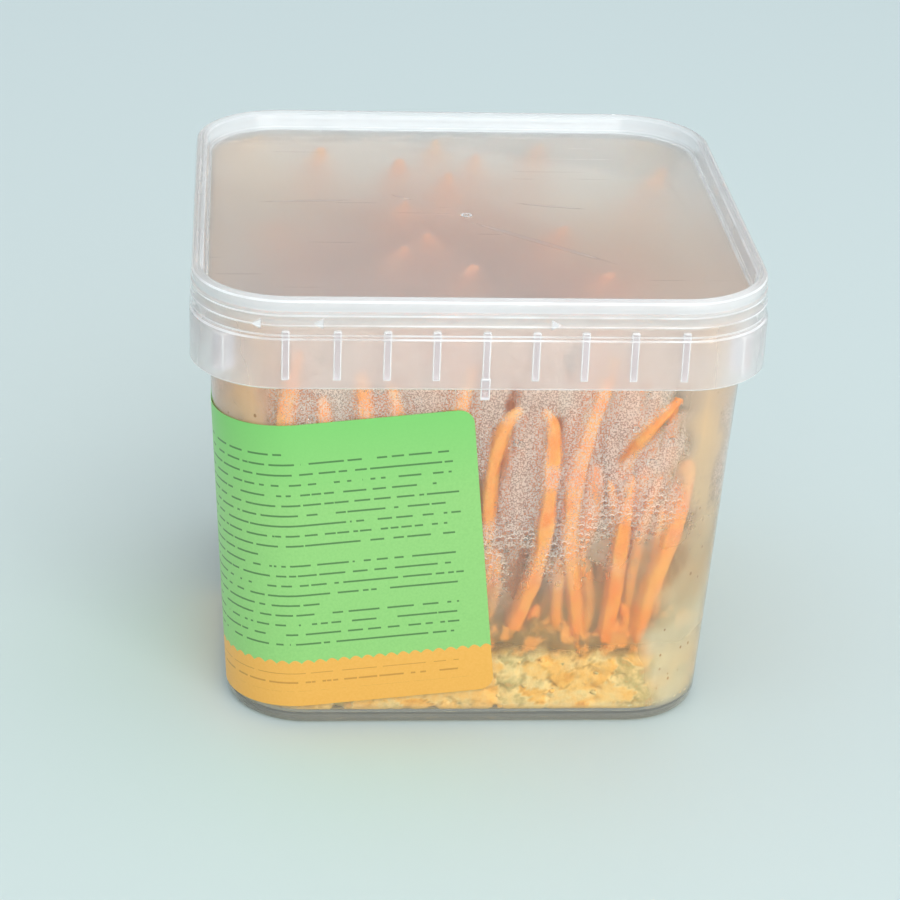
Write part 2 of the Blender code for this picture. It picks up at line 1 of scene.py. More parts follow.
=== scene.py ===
import functools
import json
import math
import random

import bmesh
import bpy
import numpy as np
from mathutils import Matrix, Vector, noise
from mathutils.bvhtree import BVHTree
from mathutils.kdtree import KDTree


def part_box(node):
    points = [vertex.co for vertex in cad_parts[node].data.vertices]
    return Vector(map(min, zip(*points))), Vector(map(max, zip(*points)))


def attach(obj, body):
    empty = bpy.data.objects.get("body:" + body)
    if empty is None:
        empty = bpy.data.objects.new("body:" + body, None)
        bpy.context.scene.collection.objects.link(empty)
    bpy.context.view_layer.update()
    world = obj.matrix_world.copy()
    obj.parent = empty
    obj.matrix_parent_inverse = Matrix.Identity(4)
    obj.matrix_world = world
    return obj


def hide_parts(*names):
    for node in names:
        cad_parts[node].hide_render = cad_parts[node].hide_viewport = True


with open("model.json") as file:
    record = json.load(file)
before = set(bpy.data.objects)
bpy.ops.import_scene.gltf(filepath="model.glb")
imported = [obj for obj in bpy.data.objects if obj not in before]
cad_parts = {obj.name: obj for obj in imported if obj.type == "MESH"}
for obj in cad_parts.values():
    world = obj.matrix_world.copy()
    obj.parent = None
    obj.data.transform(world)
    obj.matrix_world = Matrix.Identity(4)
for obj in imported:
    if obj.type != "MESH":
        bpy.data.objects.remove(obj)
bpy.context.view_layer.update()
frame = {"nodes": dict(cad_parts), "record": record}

# ---------------------------------------------------------------------------------------
# Camera: a long lens in front of the tub, a little to its left, looking down on the lid.
CAMERA_PLACE = Vector((-0.05432, -0.60420, 0.33297))
CAMERA_YAW = math.radians(4.982)
CAMERA_PITCH = math.radians(25.438)
CAMERA_ROLL = math.radians(2.331)
CAMERA_LENS = 108.36

camera_data = bpy.data.cameras.new("camera")
camera_data.sensor_width = 36
camera_data.lens = CAMERA_LENS
camera = bpy.data.objects.new("camera", camera_data)
bpy.context.collection.objects.link(camera)
camera.matrix_world = (
    Matrix.Translation(CAMERA_PLACE)
    @ Matrix.Rotation(-CAMERA_YAW, 4, "Z")
    @ Matrix.Rotation(math.radians(90) - CAMERA_PITCH, 4, "X")
    @ Matrix.Rotation(CAMERA_ROLL, 4, "Z")
)
bpy.context.scene.camera = camera

# ---------------------------------------------------------------------------------------
# Tub: one thin moulding of cloudy polypropylene, tapered and round-cornered. It has a foot
# ring under its floor and a rim that stands outwards, on which the lid lies.
TUB_BASE_HALF = 0.0564
TUB_BASE_CORNER = 0.0188
TUB_MARK_HEIGHT = 0.0901
TUB_MARK_HALF = 0.0607
TUB_MARK_CORNER = 0.0196
TUB_WALL = 0.0009
TUB_FLOOR = 0.0022
TUB_RIM_THICKNESS = 0.0010
CORNER_STEPS = 14
INNER_CELL = 0.0014
FINE_STEP = 0.0001
WALL_TOP_DROP = 0.0004
WALL_BOTTOM = 0.0055
FLOOR_ROUNDING = ((0.0038, 0.0001), (0.0030, 0.0005), (0.0025, 0.0011), (TUB_FLOOR, 0.0018))
FOOT_RING_STEPS = ((-39, -38, 12), (-32, -31, 2), (-30, -29, 0), (-15, -15, 0), (-8, -8, 2), (-3, -3, 8))


def tub_half(height):
    """Half the tub's outer width at a height on its tapered wall."""
    return TUB_BASE_HALF + (TUB_MARK_HALF - TUB_BASE_HALF) * height / TUB_MARK_HEIGHT


def tub_corner(height):
    """The tub's outer corner radius at a height."""
    return TUB_BASE_CORNER + (TUB_MARK_CORNER - TUB_BASE_CORNER) * height / TUB_MARK_HEIGHT


def tub_ring(height, inset):
    """Half width, corner radius and height of the tub's outline, moved inwards by inset."""
    return tub_half(height) - inset, tub_corner(height) - inset, height


def rings_near(half, corner, height, *steps):
    """Rings close to one ring, each wider, rounder and higher than it by steps of 0.1 mm."""
    return [(half + wider * FINE_STEP, corner + rounder * FINE_STEP, height + higher * FINE_STEP)
            for wider, rounder, higher in steps]


def draw_out(shape, edges):
    """Extrude a loop of edges; the new loop's points and edges, and the faces between."""
    made = bmesh.ops.extrude_edge_only(shape, edges=edges)["geom"]
    ring = [item for item in made if isinstance(item, bmesh.types.BMVert)]
    faces = [item for item in made if isinstance(item, bmesh.types.BMFace)]
    around = set(ring)
    new_edges = [item for item in made if isinstance(item, bmesh.types.BMEdge)
                 and around.issuperset(item.verts)]
    return ring, new_edges, faces


def square_shell(rings, inside=(), side_steps=1):
    """A closed moulding through round-cornered square rings, each a (half, corner, height).

    Each straight side is cut into side_steps. The faces that reach one of the rings numbered
    in inside get the second material; 0 is the first cap and the last number the other cap.
    """
    shape = bmesh.new()
    half, corner, height = rings[0]
    plate = bmesh.ops.create_grid(shape, x_segments=1, y_segments=1, size=half)
    bmesh.ops.bevel(shape, geom=plate["verts"], offset=corner, segments=CORNER_STEPS, profile=0.5,
                    affect="VERTICES", material=-1)
    sides = [edge for edge in shape.edges if edge.calc_length() > half - corner]
    bmesh.ops.subdivide_edges(shape, edges=sides, cuts=side_steps - 1)
    bmesh.ops.translate(shape, verts=list(shape.verts), vec=(0, 0, height))
    for face in shape.faces:
        face.material_index = int(0 in inside)
    edges = list(shape.edges)
    for number, (new_half, new_corner, new_height) in enumerate(rings[1:], start=1):
        ring, edges, faces = draw_out(shape, edges)
        flat, new_flat = half - corner, new_half - new_corner
        for vertex in ring:
            for axis in (0, 1):
                past = abs(vertex.co[axis]) - flat
                reach = new_flat + past / corner * new_corner if past > 0 else (past / flat + 1) * new_flat
                vertex.co[axis] = math.copysign(reach, vertex.co[axis])
            vertex.co.z = new_height
        for face in faces:
            face.material_index = int(number in inside)
        half, corner = new_half, new_corner
    for face in bmesh.ops.contextual_create(shape, geom=edges)["faces"]:
        face.material_index = int(len(rings) in inside)
    bmesh.ops.recalc_face_normals(shape, faces=list(shape.faces))
    return shape


def as_mesh(name, shape):
    """A bmesh made into a mesh."""
    mesh = bpy.data.meshes.new(name)
    shape.to_mesh(mesh)
    shape.free()
    return mesh


def add_piece(name, shape, *finishes, sharp=35):
    """Turn a bmesh or a mesh into a smooth-shaded piece that rides on the tub's body."""
    mesh = as_mesh(name, shape) if isinstance(shape, bmesh.types.BMesh) else shape
    mesh.shade_smooth()
    mesh.set_sharp_from_angle(angle=math.radians(sharp))
    for finish in finishes:
        mesh.materials.append(finish)
    piece = bpy.data.objects.new(name, mesh)
    bpy.context.collection.objects.link(piece)
    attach(piece, "root")
    return piece


class Pattern:
    """A number, place or colour that varies over a surface. Sums on it add nodes to its finish."""

    def __init__(self, socket):
        self.socket = socket
        self.tree = socket.id_data

    def output(self, name):
        """Another output of the node that this one comes from."""
        return Pattern(self.socket.node.outputs[name])

    def math(self, operation, *others, kind="Math", output=0):
        """A sum on this value and others."""
        return add_node(self.tree, kind, dict(enumerate((self, *others))), output, operation=operation)

    def __add__(self, other):
        return self.math("ADD", other)

    def __sub__(self, other):
        return self.math("SUBTRACT", other)

    def __mul__(self, other):
        return self.math("MULTIPLY", other)

    def opposite(self):
        """One where this is none, and none where this is one."""
        return self.math("MULTIPLY_ADD", -1.0, 1.0)

    def greater(self, other):
        """The greater of two values."""
        return self.math("MAXIMUM", other)

    def between(self, low, high):
        """One between two values, and none outside them."""
        return self.math("GREATER_THAN", low) * self.math("LESS_THAN", high)

    def part(self, axis):
        """One coordinate of a place, or one channel of a colour."""
        return add_node(self.tree, "SeparateXYZ", {"Vector": self}, axis)

    def spread(self, low, high, new_low=0.0, new_high=1.0):
        """Stretch what lies between low and high to a new range."""
        return add_node(self.tree, "MapRange", {"Value": self, "From Min": low, "From Max": high,
                                                "To Min": new_low, "To Max": new_high}, "Result")

    def mapped(self, kind="POINT", **settings):
        """A place turned, moved and stretched."""
        return add_node(self.tree, "Mapping", {"Vector": self, **settings}, vector_type=kind)

    def cloud(self, scale, detail=2.0, roughness=0.5):
        """A soft random pattern of about one patch every 1 / scale metres."""
        return add_node(self.tree, "TexNoise", {"Vector": self, "Scale": scale, "Detail": detail,
                                                "Roughness": roughness}, "Fac")

    def cells(self, scale):
        """How far a flat place is from the nearest of many random points."""
        return add_node(self.tree, "TexVoronoi", {"Vector": self, "Scale": scale}, "Distance",
                        voronoi_dimensions="2D")

    def colours(self, first, second):
        """This share of the second of two colours, mixed with the first."""
        mixer = add_node(self.tree, "Mix", {"Factor": self}, data_type="RGBA").socket.node
        for socket in mixer.inputs:
            if socket.identifier in ("A_Color", "B_Color"):
                feed(socket, first if socket.identifier == "A_Color" else second)
        return Pattern(next(item for item in mixer.outputs if item.identifier == "Result_Color"))

    def dents(self, distance, strength=1.0, **below):
        """A bumpy normal of this height."""
        return add_node(self.tree, "Bump", {"Height": self, "Distance": distance, "Strength": strength,
                                            **below})


def feed(socket, value):
    """Let a socket follow a pattern, or give it a plain value."""
    if isinstance(value, Pattern):
        value.tree.links.new(value.socket, socket)
    else:
        socket.default_value = (*value, 1.0) if socket.type == "RGBA" else value


def add_node(tree, kind, inputs=None, output=0, **settings):
    """One output of a new node with its settings, its values and what it is fed by."""
    node = tree.nodes.new("ShaderNode" + kind)
    for name, value in settings.items():
        setattr(node, name, value)
    for name, value in (inputs or {}).items():
        feed(node.inputs[name], value)
    return Pattern(node.outputs[output])


def start_finish(name):
    """A new node material, its shader and the place on the object, in metres."""
    finish = bpy.data.materials.new(name)
    finish.use_nodes = True
    place = add_node(finish.node_tree, "TexCoord", output="Object")
    return finish, finish.node_tree.nodes["Principled BSDF"], place


def set_values(shader, **values):
    """Set or feed a shader's sockets; an underscore in a name stands for a space."""
    for name, value in values.items():
        feed(shader.inputs[name.replace("_", " ")], value)


def pass_light(shader, tint):
    """Let light through to what the plastic or the water holds, instead of a full shadow."""
    tree = shader.id_data
    shadow_ray = add_node(tree, "LightPath", output="Is Shadow Ray")
    clear = add_node(tree, "BsdfTransparent", {"Color": tint})
    either = add_node(tree, "MixShader", {"Fac": shadow_ray, 1: Pattern(shader.outputs[0]), 2: clear})
    feed(tree.nodes["Material Output"].inputs["Surface"], either)


def tub_outside():
    """The outer face of the wall: glossy, with faint flow marks, and darker and less clear at the foot, where
    the dark colour is painted shade.
    """
    finish, shader, place = start_finish("tub_outside")
    height = place.part("Z")
    set_values(
        shader, IOR=1.45, Roughness=place.cloud(60, 4).spread(0.3, 0.7, 0.04, 0.10),
        # Base colour: the grey-olive at the foot is painted shade where the tub stands on the floor.
        Base_Color=height.spread(0.0008, 0.0042).colours((0.62, 0.60, 0.52), (0.95, 0.95, 0.93)),
        Transmission_Weight=height.spread(0.0010, 0.0060, 0.70, 0.95),
        Normal=place.cloud(45, 2).dents(0.0003, 0.25),
    )
    pass_light(shader, (0.99, 0.98, 0.97))
    return finish


def round_the_wall(place):
    """The way round the tub from the middle of its front, and the height, for a flat pattern."""
    along, back = place.part("X"), place.part("Y")
    way = along.math("SIGN") * (back + TUB_BASE_HALF) + along
    return add_node(place.tree, "CombineXYZ", {"X": way, "Y": place.part("Z")})


def speckle(flat, scale, share, size):
    """Round flecks of many sizes, one in a share of the cells of a flat random pattern."""
    away = flat.cells(scale)
    draws = away.output("Color")
    kept = draws.part("X").spread(share + 0.05, share)
    reach = draws.part("Y") * (size * 0.6) + size * 0.5
    return (reach - away).spread(0.0, size * 0.3) * kept


def hanging_drops(flat, scale, share, size):
    """Drops on a flat pattern: where each lies, and the arc of light under its upper edge."""
    away = flat.cells(scale)
    kept = away.output("Color").part("X").spread(share + 0.02, share)
    lies = away.spread(size, size * 0.85) * kept
    from_middle = flat.math("SUBTRACT", away.output("Position"), kind="VectorMath")
    upper_half = from_middle.part("Y").spread(-0.05 * size / scale, 0.35 * size / scale)
    return lies, away.spread(size * 0.40, size * 0.58) * lies * upper_half


def tub_inside():
    """The inner face: fogged, with fine beads of water high up, clear where it is touched. The beads' white
    is partly painted highlight, the drops' arcs are painted highlights and the dark flecks are painted
    shadows.
    """
    finish, shader, place = start_finish("tub_inside")
    touch, corner, near_growth = (
        add_node(place.tree, "Attribute", output="Fac", attribute_name=name)
        for name in ("touch", "corner", "near_growth"))
    height = place.part("Z")
    level = height + place.part("X") * -0.30 + place.cloud(45, 2) * 0.024 + place.cloud(130, 3) * 0.012
    low = level.spread(0.068, 0.042)
    near_bed = height.spread(0.038, 0.027)
    streaks = place.mapped(Scale=(1.0, 1.0, 0.4)).cloud(130, 4).spread(0.70, 0.58)
    fog = low.greater(streaks) * touch.spread(0.1, 0.9, 1.0, 0.0)
    flat = round_the_wall(place)
    foggy_flat = fog * corner.opposite()
    beaded = foggy_flat * level.spread(0.050, 0.062)
    # The beads' white flecks are partly the fog of fine water and partly painted highlights; shadows are dark
    # flecks of painted shade.
    beads = speckle(flat, 2500.0, 0.92, 0.62).greater(speckle(flat, 1150.0, 0.30, 0.46)) * beaded
    shadows = speckle(flat, 1500.0, 0.12, 0.36) * beaded
    # Each drop's arc is a painted highlight under its upper edge.
    lies, arc = hanging_drops(flat, 560.0, 0.62, 0.42)
    belt = foggy_flat * level.spread(0.078, 0.066) * level.spread(0.052, 0.060)
    lies, arc = lies * belt, arc * belt
    dry = lies * -0.45 + 1.0
    film_weight = (near_bed * -0.08 + low * 0.08 + 0.31) * (near_growth * -0.60 + 1.0)
    milky = corner * (near_bed * 0.06 + 0.75)
    haze = (beads * 0.38 + fog * film_weight + 0.03).greater(milky) * dry
    film = place.cloud(80, 3).spread(0.38, 0.62).colours((0.98, 0.78, 0.37), (0.98, 0.65, 0.22))
    tint = (shadows * 0.5).colours(low.colours((1.0, 0.87, 0.75), film), (0.50, 0.34, 0.33))
    aside = height.spread(0.030, 0.085).colours((0.85, 0.75, 0.49), (1.0, 0.71, 0.40))
    specks = speckle(flat, 260.0, 0.14, 0.14) * corner
    tint = specks.colours(corner.colours(tint, aside), (0.50, 0.27, 0.08))
    set_values(
        # Beads and arcs lower the clearness and whiten the colour as painted highlights.
        shader, IOR=1.40, Transmission_Weight=haze.greater(arc * 0.85).opposite(),
        Base_Color=(beads.greater(arc) * 0.80).colours(tint, (1.0, 0.89, 0.80)),
        Roughness=fog * dry * (low * 0.26 + 0.12) + 0.05,
        Normal=beads.greater(lies * 2.0).dents(0.0003, 0.25),
    )
    pass_light(shader, (1.0, 0.98, 0.95))
    return finish


rim_half, _, rim_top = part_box("tub")[1]
rim_bottom = rim_top - TUB_RIM_THICKNESS
rim_corner = tub_corner(rim_top) + rim_half - tub_half(rim_top)
tub_rings = [
    *rings_near(TUB_BASE_HALF, TUB_BASE_CORNER, 0.0, *FOOT_RING_STEPS),
    *(tub_ring(height, 0.0) for height in (0.0020, 0.0030, 0.0500, rim_bottom - 0.0010)),
    *rings_near(rim_half, rim_corner, rim_bottom, (-18, -18, -3), (-2, -2, 0), (0, 0, 3)),
    *rings_near(rim_half, rim_corner, rim_top, (0, 0, -3), (-3, -3, 0)),
    tub_ring(rim_top, TUB_WALL + 0.0001),
]
first_inner_ring = len(tub_rings)
wall_steps = round((rim_top - WALL_BOTTOM) / INNER_CELL)
wall_top = rim_top - WALL_TOP_DROP
for step in range(wall_steps + 1):
    tub_rings.append(tub_ring(wall_top + (WALL_BOTTOM - wall_top) * step / wall_steps, TUB_WALL))
for height, inset in FLOOR_ROUNDING:
    tub_rings.append(tub_ring(height, TUB_WALL + inset))
inner_rings = range(first_inner_ring, len(tub_rings) + 1)
side_cells = round(2 * (rim_half - rim_corner) / INNER_CELL)
tub_shape = square_shell(tub_rings, inner_rings, side_cells)
tub = add_piece("tub_moulding", tub_shape, tub_outside(), tub_inside())
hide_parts("tub")

# ---------------------------------------------------------------------------------------
# Grain bed: cooked grain bound by pale mycelium into one cake, lumpy on top, with single
# grains showing at its top and against the wall.
BED_SEED = 11
BED_HALF = 0.056
CURD_FORMS = 6
CURD_ROWS = 6
CURDS_IN_ROW = 74
CURDS = 1400
GRAINS = 1500
ROOT_LUMPS = 440
BED_LEVEL = 0.0205
FIRST_ROW, ROW_STEP = 0.0036, 0.0035
CURD_LENGTHS, CURD_WIDTHS, CURD_DEPTHS = (0.0044, 0.0112), (0.0032, 0.0060), (0.0020, 0.0038)
ROOT_LUMP_FROM, ROOT_LUMP_RISE = 0.0200, 0.0075
ROOT_LUMP_INSETS, ROOT_LUMP_SIZES = (0.0006, 0.0050), (0.0022, 0.0056)
TOP_CURD_SIZES = (0.0028, 0.0064)
GRAIN_HEIGHTS, GRAIN_INSETS, GRAIN_WIDTHS = (0.0030, 0.0225), (0.0006, 0.0014), (0.0006, 0.0016)
RAGGED_FROM, RAGGED_FADE = 0.013, 0.006
BED_VOXEL = 0.00080
CREASE_WIDTH = 0.0007
FLAKE_FROM = 0.0052
PRESS_REACH = 0.0020
LID_REACH = 0.0034
PRESS_GAP = 0.00008
LID_PANEL_BOTTOM = 0.1052
CURD_SHADES = ((0.05, (0.80, 0.43, 0.07)), (0.22, (1.0, 0.67, 0.22)), (0.40, (1.0, 0.79, 0.45)),
               (0.58, (0.95, 0.87, 0.66)), (0.72, (0.58, 0.56, 0.37)), (0.95, (0.90, 0.41, 0.14)))


def reshaped(shape, kind, **settings):
    """The shape after a modifier of a kind with its settings."""
    mesh = as_mesh("rough_shape", shape)
    rough = bpy.data.objects.new("rough_shape", mesh)
    bpy.context.collection.objects.link(rough)
    modifier = rough.modifiers.new("Reshaping", kind)
    for name, value in settings.items():
        setattr(modifier, name, value)
    depsgraph = bpy.context.evaluated_depsgraph_get()
    fine = bmesh.new()
    fine.from_mesh(rough.evaluated_get(depsgraph).to_mesh())
    bpy.data.objects.remove(rough)
    bpy.data.meshes.remove(mesh)
    return fine


def smoothed(shape, levels):
    """The shape after subdivision."""
    return reshaped(shape, "SUBSURF", levels=levels, render_levels=levels)


def cad_copy(node):
    """A CAD node's mesh with its loose triangles joined again."""
    shape = bmesh.new()
    shape.from_mesh(frame["nodes"][node].data)
    bmesh.ops.remove_doubles(shape, verts=list(shape.verts), dist=0.00001)
    bmesh.ops.join_triangles(shape, faces=list(shape.faces), angle_face_threshold=0.7,
                             angle_shape_threshold=0.9)
    return shape


def roughen(shape, size, depth, seed=0.0, swell=0.0):
    """Push a surface in and out by a random pattern of one lump every size metres."""
    shape.normal_update()
    moves = []
    for vertex in shape.verts:
        push = swell + depth * noise.noise(vertex.co / size + Vector((seed, 0, 0)))
        moves.append((vertex, vertex.normal * push))
    for vertex, move in moves:
        vertex.co += move


def joined_copies(name, templates, placements):
    """Many copies of small shapes in one mesh, each a (template, matrix, shade)."""
    points, faces, shades, total = [], [], [], 0
    for number, template in enumerate(templates):
        bmesh.ops.triangulate(template, faces=list(template.faces))
        template.verts.index_update()
        corners = np.array([vertex.co[:] for vertex in template.verts])
        sides = np.array([[vertex.index for vertex in face.verts] for face in template.faces])
        template.free()
        chosen = [placement for placement in placements if placement[0] == number]
        matrices = np.array([[row[:] for row in matrix] for _, matrix, _ in chosen])
        moved = np.einsum("nij,pj->npi", matrices[:, :3, :3], corners) + matrices[:, None, :3, 3]
        starts = total + np.arange(len(chosen)) * len(corners)
        points.append(moved.reshape(-1, 3))
        faces.append((sides[None] + starts[:, None, None]).reshape(-1, 3))
        shades.append(np.repeat([shade for _, _, shade in chosen], len(corners)))
        total += len(chosen) * len(corners)
    mesh = bpy.data.meshes.new(name)
    mesh.from_pydata(np.concatenate(points).tolist(), [], np.concatenate(faces).tolist())
    marks = mesh.attributes.new("shade", "FLOAT", "POINT")
    marks.data.foreach_set("value", np.concatenate(shades))
    return mesh


def mark_points(piece, name, values):
    """Store a number at each point of a piece for its finish to read."""
    marks = piece.data.attributes.new(name, "FLOAT", "POINT")
    marks.data.foreach_set("value", values)


def uneven_ball(seed, levels):
    """A small ball pushed out of round, one metre across."""
    ball = bmesh.new()
    bmesh.ops.create_icosphere(ball, subdivisions=levels, radius=0.5)
    for vertex in ball.verts:
        push = noise.noise(vertex.co * 2.6 + Vector((seed, 0, 0))) * 0.8
        vertex.co *= 1.0 + push + noise.noise(vertex.co * 7.0 + Vector((0, seed, 0))) * 0.25
    return ball


def bed_finish():
    """Grain and mycelium: a colour by shade, painted shade in the creases between curds, and brown at the
    stalks' feet that is partly painted shade.
    """
    finish, shader, place = start_finish("grain_bed")
    height = place.part("Z")
    shade, crease = (add_node(place.tree, "Attribute", output="Fac", attribute_name=name)
                     for name in ("shade", "crease"))
    stained = place.cloud(420, 4) * 0.60 + (shade * 0.62 + -0.14)
    shades = add_node(place.tree, "ValToRGB", {"Fac": stained})
    stops = shades.socket.node.color_ramp.elements
    while len(stops) < len(CURD_SHADES):
        stops.new(0.5)
    for stop, (position, colour) in zip(stops, CURD_SHADES):
        stop.position = position
        stop.color = (*colour, 1.0)
    # Painted shade: the creases between curds are darkened.
    colour = (crease * 0.80).colours(shades, (0.42, 0.27, 0.06))
    # At the stalks' feet: orange root growth mixed with dark brown patches of painted shade between the
    # roots.
    root_tone_and_shade = place.cloud(210, 3).spread(0.47, 0.58).colours((0.17, 0.09, 0.03), (0.88, 0.42, 0.12))
    ragged = place.cloud(160, 3) * 0.010 + height
    colour = ragged.spread(0.0215, 0.0260, 0.0, 0.90).colours(colour, root_tone_and_shade)
    colour = height.spread(0.0048, 0.0034, 0.0, 0.8).colours(colour, (0.92, 0.66, 0.08))
    set_values(shader, Base_Color=colour, Roughness=0.5, Normal=place.cloud(1000, 3).dents(0.0004, 0.6))
    return finish


def bed_height(x, y):
    """Height of the grain bed's lumpy top, as in the solid."""
    swell = noise.noise(Vector((x, y, 0.0)) / 0.021)
    grain = noise.noise(Vector((x, y, 0.05)) / 0.0085)
    return BED_LEVEL + 0.0036 * swell + 0.0018 * grain


def inside_tub(x, y, height, inset):
    """Whether a place is inside the tub's wall by at least inset."""
    half, corner, _ = tub_ring(height, TUB_WALL + inset)
    past_x, past_y = abs(x) - (half - corner), abs(y) - (half - corner)
    if past_x > 0 and past_y > 0:
        return math.hypot(past_x, past_y) < corner
    return max(past_x, past_y) < corner


def wall_beside(place):
    """How far a place is inside the tub's inner wall, and the direction out to that wall."""
    half, corner, _ = tub_ring(place.z, TUB_WALL)
    past = Vector((abs(place.x) - (half - corner), abs(place.y) - (half - corner)))
    if past.x > 0 and past.y > 0:
        outward = past.normalized()
        room = corner - past.length
    else:
        outward = Vector((1, 0)) if past.x > past.y else Vector((0, 1))
        room = corner - max(past)
    sides = (math.copysign(outward.x, place.x), math.copysign(outward.y, place.y), 0.0)
    return room, Vector(sides)


def place_along_wall(turn, height, inset):
    """A place just inside the wall, and the direction out of it, for a share of the way round."""
    half, corner, _ = tub_ring(height, TUB_WALL + inset)
    straight = 2 * (half - corner)
    bend = math.radians(90) * corner
    run = (turn % 1.0) * 4 * (straight + bend)
    quarter, run = divmod(run, straight + bend)
    if run < straight:
        place, outward = Vector((half - corner - run, -half, height)), Vector((0, -1, 0))
    else:
        angle = (run - straight) / corner
        outward = Vector((-math.sin(angle), -math.cos(angle), 0))
        place = Vector((corner - half, corner - half, height)) + outward * corner
    around = Matrix.Rotation(-quarter * math.radians(90), 3, "Z")
    return around @ place, around @ outward


def tumbled(place, chooser, sizes):
    """A matrix that puts a small shape of the given sizes at a place, turned any way."""
    turned = Matrix.Rotation(chooser.uniform(0, math.tau), 4, "Z") @ Matrix.Rotation(
        chooser.uniform(-1.2, 1.2), 4, "X") @ Matrix.Rotation(chooser.uniform(0, math.tau), 4, "Z")
    return Matrix.Translation(place) @ turned @ Matrix.Diagonal((*sizes, 1))


def facing_wall(place, outward, turn, sizes):
    """A matrix that lays a small shape on the wall, turned about the way out."""
    laid = outward.to_track_quat("Z", "Y").to_matrix().to_4x4()
    return Matrix.Translation(place) @ laid @ Matrix.Rotation(turn, 4, "Z") @ Matrix.Diagonal((*sizes, 1))


def scattered(chooser, half):
    """A random place in a square of that half width."""
    return chooser.uniform(-half, half), chooser.uniform(-half, half)


def lay_curds(chooser):
    """Curds packed against the wall in uneven rows, root lumps over them, and more on top."""
    placements = []
    for row in range(CURD_ROWS):
        for step in range(CURDS_IN_ROW):
            turn = (step + chooser.uniform(-0.4, 0.4)) / CURDS_IN_ROW
            height = FIRST_ROW + ROW_STEP * (row + chooser.uniform(-0.4, 0.4))
            depth = chooser.uniform(*CURD_DEPTHS)
            place, outward = place_along_wall(turn, height, depth * 0.40)
            if height > bed_height(place.x, place.y) + 0.0012:
                continue
            sizes = (chooser.uniform(*CURD_LENGTHS), chooser.uniform(*CURD_WIDTHS), depth)
            matrix = facing_wall(place, outward, chooser.uniform(-0.6, 0.6), sizes)
            placements.append((chooser.randrange(CURD_FORMS), matrix, chooser.random()))
    for _ in range(ROOT_LUMPS):
        height = ROOT_LUMP_FROM + ROOT_LUMP_RISE * chooser.random() ** 1.4
        place, _ = place_along_wall(chooser.random(), height, chooser.uniform(*ROOT_LUMP_INSETS))
        size = chooser.uniform(*ROOT_LUMP_SIZES)
        placements.append((chooser.randrange(CURD_FORMS), tumbled(place, chooser, (size, size, size * 0.8)),
                           chooser.random()))
    while len(placements) < CURDS:
        x, y = scattered(chooser, BED_HALF)
        if inside_tub(x, y, 0.02, 0.0024):
            size = chooser.uniform(*TOP_CURD_SIZES)
            place = (x, y, bed_height(x, y) + size * chooser.uniform(-0.25, 0.25))
            sizes = (size, size * 0.8, size * 0.6)
            placements.append((chooser.randrange(CURD_FORMS), tumbled(place, chooser, sizes),
                               chooser.random()))
    return placements


def strew_grains(chooser):
    """Single grains and crumbs between the curds, at the wall and on top."""
    placements = []
    while len(placements) < GRAINS:
        if chooser.random() < 0.6:
            height = chooser.uniform(*GRAIN_HEIGHTS)
            place, _ = place_along_wall(chooser.random(), height, chooser.uniform(*GRAIN_INSETS))
            if height > bed_height(place.x, place.y) + 0.0004:
                continue
        else:
            x, y = scattered(chooser, BED_HALF)
            place = Vector((x, y, bed_height(x, y) + chooser.uniform(-0.0004, 0.0008)))
            if not inside_tub(x, y, place.z, 0.0016):
                continue
        width = chooser.uniform(*GRAIN_WIDTHS)
        sizes = (width * chooser.uniform(1.2, 2.0), width, width)
        placements.append((chooser.randrange(3), tumbled(place, chooser, sizes), chooser.random()))
    return placements


def floor_rounding(height):
    """How far the tub's inner face draws in at a height, where the wall turns into the floor."""
    return 0.0016 * max(0.0, (0.0042 - height) / 0.0020) ** 2


def pressed(room, reach):
    """What is left of a small gap to the plastic once soft growth is pressed on it."""
    if room >= reach:
        return room
    return PRESS_GAP + max(0.0, room - reach / 2) * 2 * (1 - PRESS_GAP / reach)


def press_on_plastic(vertices, reach=PRESS_REACH):
    """Flatten what comes close to the wall or to the lid's underside against it."""
    for vertex in vertices:
        vertex.co.z = max(vertex.co.z, TUB_FLOOR + PRESS_GAP)
        room, outward = wall_beside(vertex.co)
        room -= floor_rounding(vertex.co.z)
        vertex.co += outward * (room - pressed(room, reach))
        room = LID_PANEL_BOTTOM - vertex.co.z
        vertex.co.z += room - pressed(room, LID_REACH)


def clamped(value):
    """A share, kept between none and one."""
    return max(0.0, min(1.0, value))


def make_ragged(vertices):
    """Let the bed's rim rise and fall where it meets the wall, as loose growth does."""
    for vertex in vertices:
        share = clamped((vertex.co.z - RAGGED_FROM) / RAGGED_FADE)
        rise = 0.0032 * noise.noise(vertex.co / 0.0075) + 0.0016 * noise.noise(vertex.co / 0.0030)
        vertex.co.z += share * rise


def mark_curds(piece, placements):
    """Give each point of the bed the shade of its nearest curd, and mark the creases between."""
    flattened = Vector((1.0, 1.0, 1.5))
    middles = KDTree(len(placements))
    for number, (_, matrix, _) in enumerate(placements):
        if max(matrix.to_scale()) > FLAKE_FROM:
            middles.insert(matrix.translation * flattened, number)
    middles.balance()
    shades, creases = [], []
    for vertex in piece.data.vertices:
        place = vertex.co + noise.noise_vector(vertex.co / 0.0022) * 0.0012
        (_, first, near), (_, _, next_near) = middles.find_n(place * flattened, 2)
        shades.append(placements[first][2])
        drawn = clamped(0.35 + 1.6 * noise.noise(vertex.co / 0.006))
        creases.append(drawn * max(0.0, 1.0 - (next_near - near) / CREASE_WIDTH))
    mark_points(piece, "shade", shades)
    mark_points(piece, "crease", creases)


